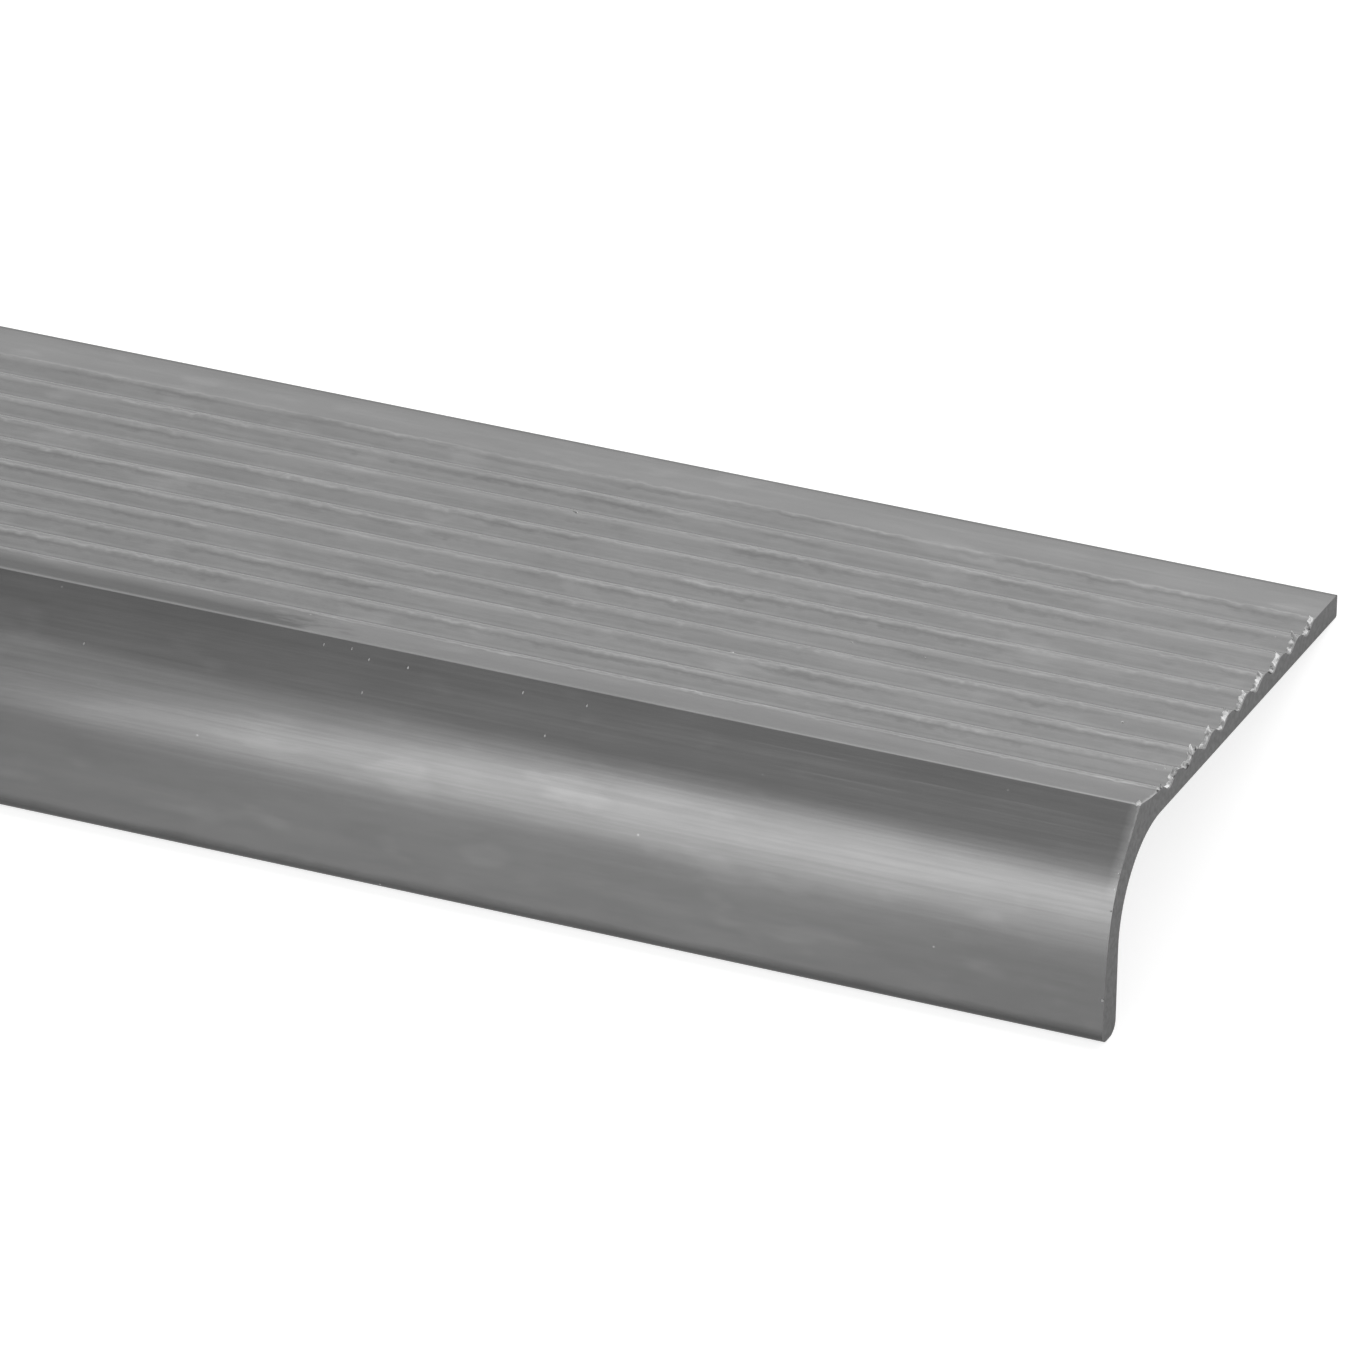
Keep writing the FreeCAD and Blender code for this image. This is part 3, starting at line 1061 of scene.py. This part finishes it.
@dataclass(frozen=True)
class SawnFinish:
    """The face that the saw left: dull, with fine marks all over it, and a dark tone that is painted shade.

    Attributes:
        marks: noise of the marks.
        mark_fade: range of that noise, and the tones that it gives, kept dark as painted shade.
        mark_height: depth of the marks.
        roughness: gloss of the face.
    """

    marks: Grain = Grain(1800.0, 1800.0, 3.0, 0.7)
    mark_fade: Fade = Fade(0.3, 0.7, 0.144, 0.225)
    mark_height: float = 0.01 * MM
    roughness: float = 0.55

    def material(self) -> bpy.types.Material:
        """Make the material.

        Returns:
            The material.
        """
        material, wires, shader = start_material("sawn_aluminium",
                                                 {"Metallic": 1.0, "Roughness": self.roughness})
        marks = wires.grain(self.marks)
        # the saw marks vary the tone; the darkness of the whole face is painted shade
        wires.join(wires.grey(wires.fade(marks, self.mark_fade)), shader["Base Color"])
        wires.join(wires.bump(marks, self.mark_height), shader["Normal"])
        return material


@dataclass
class NosingProfile:
    """The extrusion itself, drawn as an outline and drawn out along its length.

    Attributes:
        section: the level section.
        placement: how it lies.
        rings: how many lengths the long faces are cut into.
        smooth_angle: bend up to which faces are shaded as one, in degrees.
        cut_facing: how far a face looks along the length to be one of the cuts.
    """

    section: Section
    placement: Placement
    rings: int = 60
    smooth_angle: float = 32.0
    cut_facing: float = 0.9

    def build(self) -> bpy.types.Object:
        """Model the profile.

        Returns:
            The finished piece, where it lies.
        """
        pen = Pen(Vector((self.placement.far, self.section.inner_radius, 0.0)), Heading.BACK.value)
        piece = pen.start("nosing")
        self.section.draw(pen)
        pen.finish()
        bpy.ops.mesh.edge_face_add()
        length = self.placement.near - self.placement.far
        bpy.ops.mesh.extrude_region_move(TRANSFORM_OT_translate={"value": (length, 0.0, 0.0)})
        self.divide_length(piece, length)
        face_outward()
        self.placement.settle(piece)
        bpy.ops.object.shade_smooth_by_angle(angle=math.radians(self.smooth_angle))
        return piece

    def divide_length(self, piece: bpy.types.Object, length: float) -> None:
        """Cut the long faces into rings.

        Args:
            piece: the profile, in edit mode.
            length: its length.
        """
        half = length / 2
        bpy.ops.mesh.select_mode(type="EDGE")
        select_parts(piece, MeshPart.EDGE, lambda edge: abs(edge.verts[0].co.x - edge.verts[1].co.x) > half)
        bpy.ops.mesh.subdivide(number_cuts=self.rings - 1)

    def dress(self, piece: bpy.types.Object, mill: bpy.types.Material, sawn: bpy.types.Material) -> None:
        """Give the faces their finishes.

        Args:
            piece: the profile.
            mill: the finish of the long faces.
            sawn: the finish of the two cuts.
        """
        piece.data.materials.clear()
        piece.data.materials.append(mill)
        piece.data.materials.append(sawn)
        for face in piece.data.polygons:
            face.material_index = 1 if abs(face.normal.x) > self.cut_facing else 0


@dataclass(frozen=True)
class BurrFinish:
    """Fresh metal that the saw pushed up: rough, and brighter than the skin of the profile.

    Attributes:
        grains: noise of the torn surface.
        grain_range: part of that noise between the darkest and the brightest grains.
        tone: base colour of the brightest grains.
        shadow: share of that colour in the darkest grains.
        roughness: gloss of the torn surface.
        metallic: share of the light that the torn surface doesn't scatter.
    """

    grains: Grain = Grain(1700.0, 1700.0)
    grain_range: tuple[float, float] = (0.38, 0.62)
    tone: float = 0.90
    shadow: float = 0.38
    roughness: float = 0.45
    metallic: float = 0.55

    def material(self) -> bpy.types.Material:
        """Make the material.

        Returns:
            The material.
        """
        material, wires, shader = start_material("fresh_aluminium",
                                                 {"Metallic": self.metallic, "Roughness": self.roughness})
        fade = Fade(*self.grain_range, self.tone * self.shadow, self.tone)
        wires.join(wires.grey(wires.fade(wires.grain(self.grains), fade)), shader["Base Color"])
        return material


def copy_pattern(pattern: bpy.types.Object, name: str) -> bpy.types.Object:
    """Copy a pattern, with a mesh of its own."""
    return add_to_scene(name, pattern.data.copy())


@dataclass
class SawBurrs:
    """Ragged metal along the near cut: a ribbon up each groove's back wall, and crumbs.

    Attributes:
        section: the level section.
        placement: how it lies.
        seed: start of the random draws.
        ribbon_inset: how far a ribbon stands behind the cut.
        ribbon_sink: how far its foot sits in the metal.
        ribbon_rise: its height before it is torn.
        ribbon_lean: how far its rim leans back over the tread.
        ribbon_wall: its thickness.
        ribbon_step: most that one edge of its foot turns, in degrees.
        ribbon_rows: how many rows of faces it has.
        flank_steps: how many columns it has on the straight side of the groove.
        column_digits: digits of a depth in metres that tell two columns apart.
        tear_reach: distance from the crest of the rib at which it is lowest.
        tear_least: least share of its height that a column keeps.
        tear_bias: how much more often a column is low than tall.
        tooth: height, place and half width of the tooth near the crest.
        vigour: least and most height of a whole ribbon.
        leans: least and most lean of a column.
        crumb_size: radius of the ball that a crumb is shaped from.
        crumb_flatness: shares of its size that a crumb keeps, along, across and up.
        tail_start: where its tail starts, as a share of its size.
        tail_pinch: shares of its size that the tail keeps.
        tail_move: how far the tail moves, as shares of its size.
        crumb_roughness: how far its corners are shaken, as a share of its size.
        crumb_inset: how far the middle of one along the cut is behind it.
        crumb_yaw: most that it is turned about the upright, in radians.
        clear: least distance of a crumb from the cut.
        crumbs: depth and height in millimetres, and size, of those along the cut.
        chip_size: size of a chip on the tread, against the crumb.
        chip_yaw: how far it is turned about the upright, in radians.
        tread_chips: distance from the cut and depth, in millimetres.
        brow_chip_size: size of a speck on the brow, against the crumb.
        brow_chips: distance from the cut, depth and height, in millimetres.
    """

    section: Section
    placement: Placement
    seed: int = 11
    ribbon_inset: float = 0.10 * MM
    ribbon_sink: float = 0.05 * MM
    ribbon_rise: float = 0.46 * MM
    ribbon_lean: float = 0.42 * MM
    ribbon_wall: float = 0.06 * MM
    ribbon_step: float = 12.0
    ribbon_rows: int = 2
    flank_steps: int = 7
    column_digits: int = 6
    tear_reach: float = 1.9 * MM
    tear_least: float = 0.30
    tear_bias: float = 1.3
    tooth: tuple[float, float, float] = (0.75, 0.86, 0.14)
    vigour: tuple[float, float] = (0.65, 1.25)
    leans: tuple[float, float] = (0.6, 1.2)
    crumb_size: float = 0.24 * MM
    crumb_flatness: tuple[float, float, float] = (0.55, 1.0, 0.45)
    tail_start: float = 0.4
    tail_pinch: tuple[float, float, float] = (0.5, 1.6, 0.5)
    tail_move: tuple[float, float, float] = (0.0, 0.5, 0.1)
    crumb_roughness: float = 0.25
    crumb_inset: float = 0.14 * MM
    crumb_yaw: float = 0.4
    clear: float = 0.01 * MM
    crumbs: tuple[tuple[float, float, float], ...] = (
        (4.24, 2.76, 1.9), (8.6, 2.35, 1.0), (9.2, 2.3, 0.8), (12.2, 2.05, 1.1), (13.0, 2.25, 1.2),
        (14.0, 2.0, 0.9), (17.6, 2.2, 1.0), (18.8, 1.9, 1.1), (15.5, 1.62, 0.8), (16.4, 2.2, 0.9),
        (25.0, 2.25, 0.8), (31.2, 1.55, 0.8), (34.3, 1.85, 1.3), (36.5, 1.6, 0.8), (38.9, 1.55, 0.8),
        (44.6, 1.75, 0.8), (50.3, 1.95, 0.8), (1.5, -0.6, 0.8), (-0.14, -1.76, 0.6), (-0.9, -2.9, 0.5),
        (-1.7, -4.6, 0.5), (-2.85, -12.6, 1.0), (-2.1, -13.4, 0.7))
    chip_size: float = 0.9
    chip_yaw: float = 1.2
    tread_chips: tuple[tuple[float, float], ...] = (
        (67.44, 37.63), (28.31, 24.50), (8.05, 20.25), (35.22, 24.51), (43.83, 18.21), (1.2, 12.8), (1.9, 12.6))
    brow_chip_size: float = 0.42
    brow_chips: tuple[tuple[float, float, float], ...] = (
        (98.15, 0.54, -0.94), (76.34, 3.51, 2.25), (73.70, 3.62, 2.37), (71.86, 3.18, 1.89),
        (68.13, 3.18, 1.90), (71.56, 1.11, -0.33), (57.15, 3.13, 1.83), (51.09, 3.15, 1.86),
        (54.01, 0.84, -0.62))

    def build(self, finish: bpy.types.Material) -> list[bpy.types.Object]:
        """Model the burrs.

        Args:
            finish: the material of fresh metal.

        Returns:
            The finished pieces, where they lie.
        """
        dice = random.Random(self.seed)
        ribbon = self.model_ribbon()
        crumb = self.model_crumb()
        pieces = [self.place_ribbon(ribbon, groove, dice) for groove in range(self.section.groove_count)]
        for number, (depth, height, size) in enumerate(self.crumbs):
            roll = Matrix.Rotation(dice.uniform(0.0, math.tau), 4, "X")
            yaw = Matrix.Rotation(dice.uniform(-self.crumb_yaw, self.crumb_yaw), 4, "Z")
            spot = self.spot(self.crumb_inset, depth * MM, height * MM)
            pieces.append(self.place_crumb(crumb, f"crumb_{number}", spot, size, roll @ yaw))
        yaw = Matrix.Rotation(self.chip_yaw, 4, "Z")
        for number, (along, depth) in enumerate(self.tread_chips):
            spot = self.spot(along * MM, depth * MM, self.surface_height(depth * MM))
            pieces.append(self.place_crumb(crumb, f"chip_{number}", spot, self.chip_size, yaw))
        lean = Matrix.Rotation(math.radians(self.section.brow_angle), 4, "X")
        for number, (along, depth, height) in enumerate(self.brow_chips):
            spot = self.spot(along * MM, depth * MM, height * MM)
            pieces.append(self.place_crumb(crumb, f"brow_chip_{number}", spot, self.brow_chip_size, lean))
        for pattern in (ribbon, crumb):
            bpy.data.objects.remove(pattern, do_unlink=True)
        for piece in pieces:
            piece.data.materials.clear()
            piece.data.materials.append(finish)
            self.placement.settle(piece)
        return pieces

    def spot(self, inset: float, depth: float, height: float) -> Vector:
        """Point of the level section at a distance from the near cut."""
        return Vector((self.placement.near - inset, depth, height))

    def surface_height(self, depth: float) -> float:
        """Work out how high the ribbed tread is, near enough to lay a chip on it.

        Args:
            depth: where, from the inner face of the apron.

        Returns:
            The height over the underside of the tread.
        """
        turns = (depth - self.section.first_groove) / self.section.groove_pitch
        off = abs(turns - round(turns)) * 2
        return self.section.tread_thickness - self.section.groove_depth * max(0.0, 1 - off)

    def model_ribbon(self) -> bpy.types.Object:
        """Model the ribbon on the back wall of the first groove.

        Returns:
            The pattern, drawn with the tread level.
        """
        start = self.spot(self.ribbon_inset, self.section.crest_depth(0), self.section.tread_thickness)
        pen = Pen(start, Heading.FRONT.value, self.ribbon_step)
        piece = pen.start("ribbon_pattern")
        flank, lean = self.section.groove_side
        pen.bend(self.section.rib_round, lean)
        for _ in range(self.flank_steps):
            pen.straight(flank / self.flank_steps)
        pen.bend(self.section.groove_round, -lean)
        pen.finish()
        move = (0.0, 0.0, self.ribbon_rise / self.ribbon_rows)
        for _ in range(self.ribbon_rows):
            bpy.ops.mesh.extrude_edges_move(TRANSFORM_OT_translate={"value": move})
        deselect_everything()
        return piece

    def place_ribbon(self, pattern: bpy.types.Object, groove: int, dice: random.Random) -> bpy.types.Object:
        """Copy the ribbon to a groove and tear its rim.

        Args:
            pattern: the ribbon of the first groove.
            groove: which groove, from the front.
            dice: the source of the ragged sizes.

        Returns:
            The copy, with its own mesh.
        """
        piece = copy_pattern(pattern, f"saw_burr_{groove}")
        make_active(piece)
        edit_vertices()
        bpy.ops.transform.translate(value=(0.0, groove * self.section.groove_pitch, 0.0))
        self.tear(piece, self.section.crest_depth(groove), dice)
        face_outward()
        make_active(piece)
        wall = piece.modifiers.new("wall", "SOLIDIFY")
        wall.thickness = self.ribbon_wall
        wall.offset = 0.0
        bpy.ops.object.modifier_apply(modifier=wall.name)
        return piece

    def tear(self, piece: bpy.types.Object, crest: float, dice: random.Random) -> None:
        """Tear the rim of a ribbon, column by column.

        Args:
            piece: the ribbon, in edit mode.
            crest: depth of the crest of its rib.
            dice: the source of the ragged sizes.
        """
        shape = bmesh.from_edit_mesh(piece.data)
        columns: dict[float, list] = {}
        for vertex in shape.verts:
            columns.setdefault(round(vertex.co.y, self.column_digits), []).append(vertex)
        vigour = dice.uniform(*self.vigour)
        for column in sorted(columns):
            tall = self.torn_height(crest - column, dice) * vigour
            lean = dice.uniform(*self.leans) * self.ribbon_lean
            foot = min(vertex.co.z for vertex in columns[column])
            for vertex in columns[column]:
                above = vertex.co.z - foot
                vertex.co.z -= above * (1.0 - tall) + self.ribbon_sink
                vertex.co.x -= above / self.ribbon_rise * lean
        bmesh.update_edit_mesh(piece.data)

    def torn_height(self, down: float, dice: random.Random) -> float:
        """Draw how much of its height a column of a ribbon keeps.

        Args:
            down: distance from the crest of the rib.
            dice: the source of the ragged sizes.

        Returns:
            The share that it keeps.
        """
        share = 1.0 - min(1.0, max(0.0, down / self.tear_reach))
        height, place, half_width = self.tooth
        tooth = height * max(0.0, 1.0 - abs(share - place) / half_width)
        rest = 1.0 - self.tear_least
        drawn = self.tear_least + rest * dice.random()**self.tear_bias
        return drawn * (self.tear_least + rest * share) + tooth

    def model_crumb(self) -> bpy.types.Object:
        """Model one crumb of torn metal: a flat drop with a pinched tail.

        Returns:
            The pattern, about the origin.
        """
        size = self.crumb_size
        deselect_everything()
        bpy.ops.mesh.primitive_ico_sphere_add(subdivisions=2, radius=size, location=(0.0, 0.0, 0.0))
        piece = bpy.context.object
        piece.name = "crumb_pattern"
        edit_vertices()
        bpy.ops.transform.resize(value=self.crumb_flatness)
        select_parts(piece, MeshPart.CORNER, lambda vertex: vertex.co.y > self.tail_start * size)
        bpy.ops.transform.resize(value=self.tail_pinch)
        bpy.ops.transform.translate(value=[share * size for share in self.tail_move])
        bpy.ops.mesh.select_all(action="SELECT")
        bpy.ops.transform.vertex_random(offset=self.crumb_roughness * size, seed=self.seed)
        bpy.ops.mesh.normals_make_consistent(inside=False)
        deselect_everything()
        return piece

    def place_crumb(self, pattern: bpy.types.Object, name: str, spot: Vector, size: float,
                    turn: Matrix) -> bpy.types.Object:
        """Copy the crumb to a spot, and keep it behind the cut.

        Args:
            pattern: the crumb.
            name: name of the copy.
            spot: where it lies, with the tread level.
            size: its size against the pattern.
            turn: how it is turned there.

        Returns:
            The copy, with its own mesh.
        """
        piece = copy_pattern(pattern, name)
        piece.data.transform(Matrix.Translation(spot) @ turn @ Matrix.Scale(size, 4))
        past = max(vertex.co.x for vertex in piece.data.vertices) - self.placement.near + self.clear
        if past > 0:
            piece.data.transform(Matrix.Translation((-past, 0.0, 0.0)))
        return piece


@dataclass(frozen=True)
class PhotoCamera:
    """The photograph's viewing angle, taken from the straight edges of the profile.

    The angles are those of the view against the level tread, in degrees. The
    mark is the crest of the lip at the near end, with its pixel in the
    photograph, the scale there, and its place in the section.
    """

    pixels: float = 1360.0
    focal_pixels: float = 12902.0
    azimuth: float = 23.044
    elevation: float = 26.297
    roll: float = 1.056
    mark_across: float = 1140.66
    mark_down: float = 804.98
    pixels_per_metre: float = 11746.5
    mark_depth: float = 4.15 * MM
    mark_height: float = 2.9 * MM
    sensor: float = 36.0
    clip: tuple[float, float] = (0.01, 50.0)

    def axes(self, tilt: float) -> Matrix:
        """Work out how the camera is turned.

        Args:
            tilt: lean of the tread, in radians.

        Returns:
            The rotation.
        """
        turn = math.radians(self.azimuth)
        lift = math.radians(self.elevation)
        side = Vector((math.cos(turn), math.sin(turn), 0.0))
        back = Vector((math.sin(turn) * math.cos(lift), -math.cos(turn) * math.cos(lift), math.sin(lift)))
        return Matrix.Rotation(-tilt, 3, "X") @ rolled_axes(side, back.cross(side), back, self.roll)

    def build(self, placement: Placement) -> bpy.types.Object:
        """Add the camera.

        Args:
            placement: how the level section lies.

        Returns:
            The camera's object.
        """
        lying = self.axes(placement.tilt)
        half = self.pixels / 2
        ahead = Vector(((self.mark_across - half) / self.focal_pixels,
                        (half - self.mark_down) / self.focal_pixels, -1.0))
        mark = placement.matrix @ Vector((placement.near, self.mark_depth, self.mark_height))
        distance = self.focal_pixels / self.pixels_per_metre
        place = mark - lying @ ahead * distance
        data = bpy.data.cameras.new("photo_camera")
        data.sensor_width = self.sensor
        data.lens = self.focal_pixels / self.pixels * self.sensor
        data.clip_start, data.clip_end = self.clip
        camera = add_to_scene("photo_camera", data)
        camera.matrix_world = Matrix.Translation(place) @ lying.to_4x4()
        bpy.context.scene.camera = camera
        return camera


@dataclass(frozen=True)
class Softbox:
    """One soft lamp that hangs in front of the near end.

    Attributes:
        name: name of the lamp.
        direction: from the object towards the lamp.
        distance: how far away it hangs.
        width: its size along the profile.
        height: its size across the profile.
        brightness: its own light, where 1 is white.
        turn: how far it is turned in its own plane, in degrees.
    """

    name: str
    direction: tuple[float, float, float]
    distance: float
    width: float
    height: float
    brightness: float
    turn: float = 0.0

    def build(self, target: Vector) -> None:
        """Hang the lamp and aim it.

        Args:
            target: the point that it shines on.
        """
        data = bpy.data.lights.new(self.name, "AREA")
        data.shape = "RECTANGLE"
        data.size = self.width
        data.size_y = self.height
        data.energy = self.brightness * math.pi * self.width * self.height
        lamp = add_to_scene(self.name, data)
        away = Vector(self.direction).normalized()
        across = Vector((1.0, 0.0, 0.0))
        up = away.cross(across).normalized()
        facing = rolled_axes(across, up, across.cross(up), self.turn)
        lamp.matrix_world = Matrix.Translation(target + away * self.distance) @ facing.to_4x4()


@dataclass(frozen=True)
class FloorPaint:
    """Pale matt paint that looks white to the camera.

    Attributes:
        tone: base colour.
        lift: light added where the eye meets the floor.
        gloss_share: share of that light that a gloss shows.
    """

    tone: float = 0.60
    lift: float = 0.72
    gloss_share: float = 0.52

    def material(self) -> bpy.types.Material:
        """Make the material.

        Returns:
            The material.
        """
        material = bpy.data.materials.new("pale_floor")
        wires = Wiring.afresh(material)
        paint = wires.add("ShaderNodeBsdfDiffuse", None, {"Color": grey(self.tone)})
        glow = wires.add("ShaderNodeEmission", None, {"Color": grey(1.0), "Strength": self.lift})
        lifted = wires.add("ShaderNodeAddShader", None, {0: paint.outputs[0], 1: glow.outputs[0]})
        path = wires.add("ShaderNodeLightPath")
        gloss = wires.math("MULTIPLY", path.outputs["Is Glossy Ray"], self.gloss_share)
        seen = wires.math("MAXIMUM", path.outputs["Is Camera Ray"], gloss)
        seen = wires.math("MAXIMUM", seen, path.outputs["Is Transmission Ray"])
        choice = wires.add("ShaderNodeMixShader", None, {0: seen, 1: paint.outputs[0], 2: lifted.outputs[0]})
        sink = wires.add("ShaderNodeOutputMaterial")
        wires.join(choice.outputs[0], sink.inputs["Surface"])
        return material


@dataclass(frozen=True)
class Studio:
    """Pale floor, a tent of soft light and one softbox.

    Attributes:
        floor_size: side of the square floor.
        tent: light of the tent by heading, from the back over the top.
        softbox: the lamp that draws the highlight on the nose.
        mirror_lean: part of the mirrored view along the profile, by which the lamp is set to one side.
        lit_centre: distance of the middle of the highlight from the near end.
    """

    floor_size: float = 8.0
    tent: tuple[tuple[float, float], ...] = (
        (0.0, 0.98), (15.0, 1.08), (30.0, 1.20), (45.0, 1.24), (62.0, 1.24), (75.0, 1.18), (85.0, 0.50),
        (95.0, 0.16), (105.0, 0.24), (116.0, 0.82), (130.0, 0.62), (155.0, 0.60), (170.0, 0.35), (180.0, 0.0))
    softbox: Softbox = Softbox("nose_softbox", direction=(0.0, -0.862, 0.507), distance=0.30, width=0.150,
                               height=0.234, brightness=1.42, turn=-17.5)
    mirror_lean: float = -0.351
    lit_centre: float = 0.013

    def build(self, near: float) -> None:
        """Set the stage.

        Args:
            near: where the near end of the profile is along its length.
        """
        self.add_floor()
        self.light_world()
        lean = self.mirror_lean / math.sqrt(1 - self.mirror_lean**2)
        centre = near - self.lit_centre + lean * self.softbox.distance
        self.softbox.build(Vector((centre, 0.0, 0.0)))

    def add_floor(self) -> None:
        """Lay the floor that the profile rests on."""
        deselect_everything()
        bpy.ops.mesh.primitive_plane_add(size=self.floor_size, location=(0.0, 0.0, 0.0))
        floor = bpy.context.object
        floor.name = "floor"
        floor.data.materials.append(FloorPaint().material())

    def light_world(self) -> None:
        """Light the tent by its heading across the profile."""
        world = bpy.data.worlds.new("studio")
        bpy.context.scene.world = world
        wires = Wiring.afresh(world)
        view = wires.add("ShaderNodeTexCoord").outputs["Generated"]
        parts = wires.add("ShaderNodeSeparateXYZ", None, {0: view})
        heading = wires.math("ARCTAN2", parts.outputs["Z"], parts.outputs["Y"])
        share = wires.math("DIVIDE", heading, math.pi)
        curve = wires.add("ShaderNodeFloatCurve", None, {"Value": share})
        points = curve.mapping.curves[0].points
        brightest = max(level for _, level in self.tent)
        while len(points) < len(self.tent):
            points.new(0.5, 0.5)
        for spot, (degrees, level) in zip(points, self.tent):
            spot.location = (degrees / Heading.FRONT.value, level / brightest)
            spot.handle_type = "AUTO_CLAMPED"
        curve.mapping.update()
        tent = wires.math("MULTIPLY", curve.outputs[0], brightest)
        seen = wires.add("ShaderNodeLightPath").outputs["Is Camera Ray"]
        strength = wires.blend(seen, tent, 1.0)
        glow = wires.add("ShaderNodeBackground", None, {"Color": grey(1.0), "Strength": strength})
        sink = wires.add("ShaderNodeOutputWorld")
        wires.join(glow.outputs[0], sink.inputs["Surface"])


def report(piece: bpy.types.Object) -> None:
    """Log a piece's size and triangles.

    Args:
        piece: the piece.
    """
    triangles = sum(len(face.vertices) - 2 for face in piece.data.polygons)
    extent = " x ".join(f"{side / MM:.1f}" for side in piece.dimensions)
    LOG.info("%s: %s mm, %d triangles", piece.name, extent, triangles)


def main() -> None:
    """Build the nosing and its stage, and report each piece."""
    logging.basicConfig(level=logging.INFO, format="%(message)s")
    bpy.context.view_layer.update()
    bpy.context.scene.view_settings.view_transform = "Standard"
    section = Section()
    placement = Placement.from_frame(section)
    PhotoCamera().build(placement)
    effects = Effects(section, placement)
    mill = MillFinish().material(effects)
    sawn = SawnFinish().material()

    profile = NosingProfile(section, placement)
    nosing = profile.build()
    profile.dress(nosing, mill, sawn)
    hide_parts(NODE)
    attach(nosing, BODY)
    report(nosing)

    for piece in SawBurrs(section, placement).build(BurrFinish().material()):
        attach(piece, BODY)
        report(piece)

    Studio().build(placement.near)


if __name__ == "__main__":
    main()
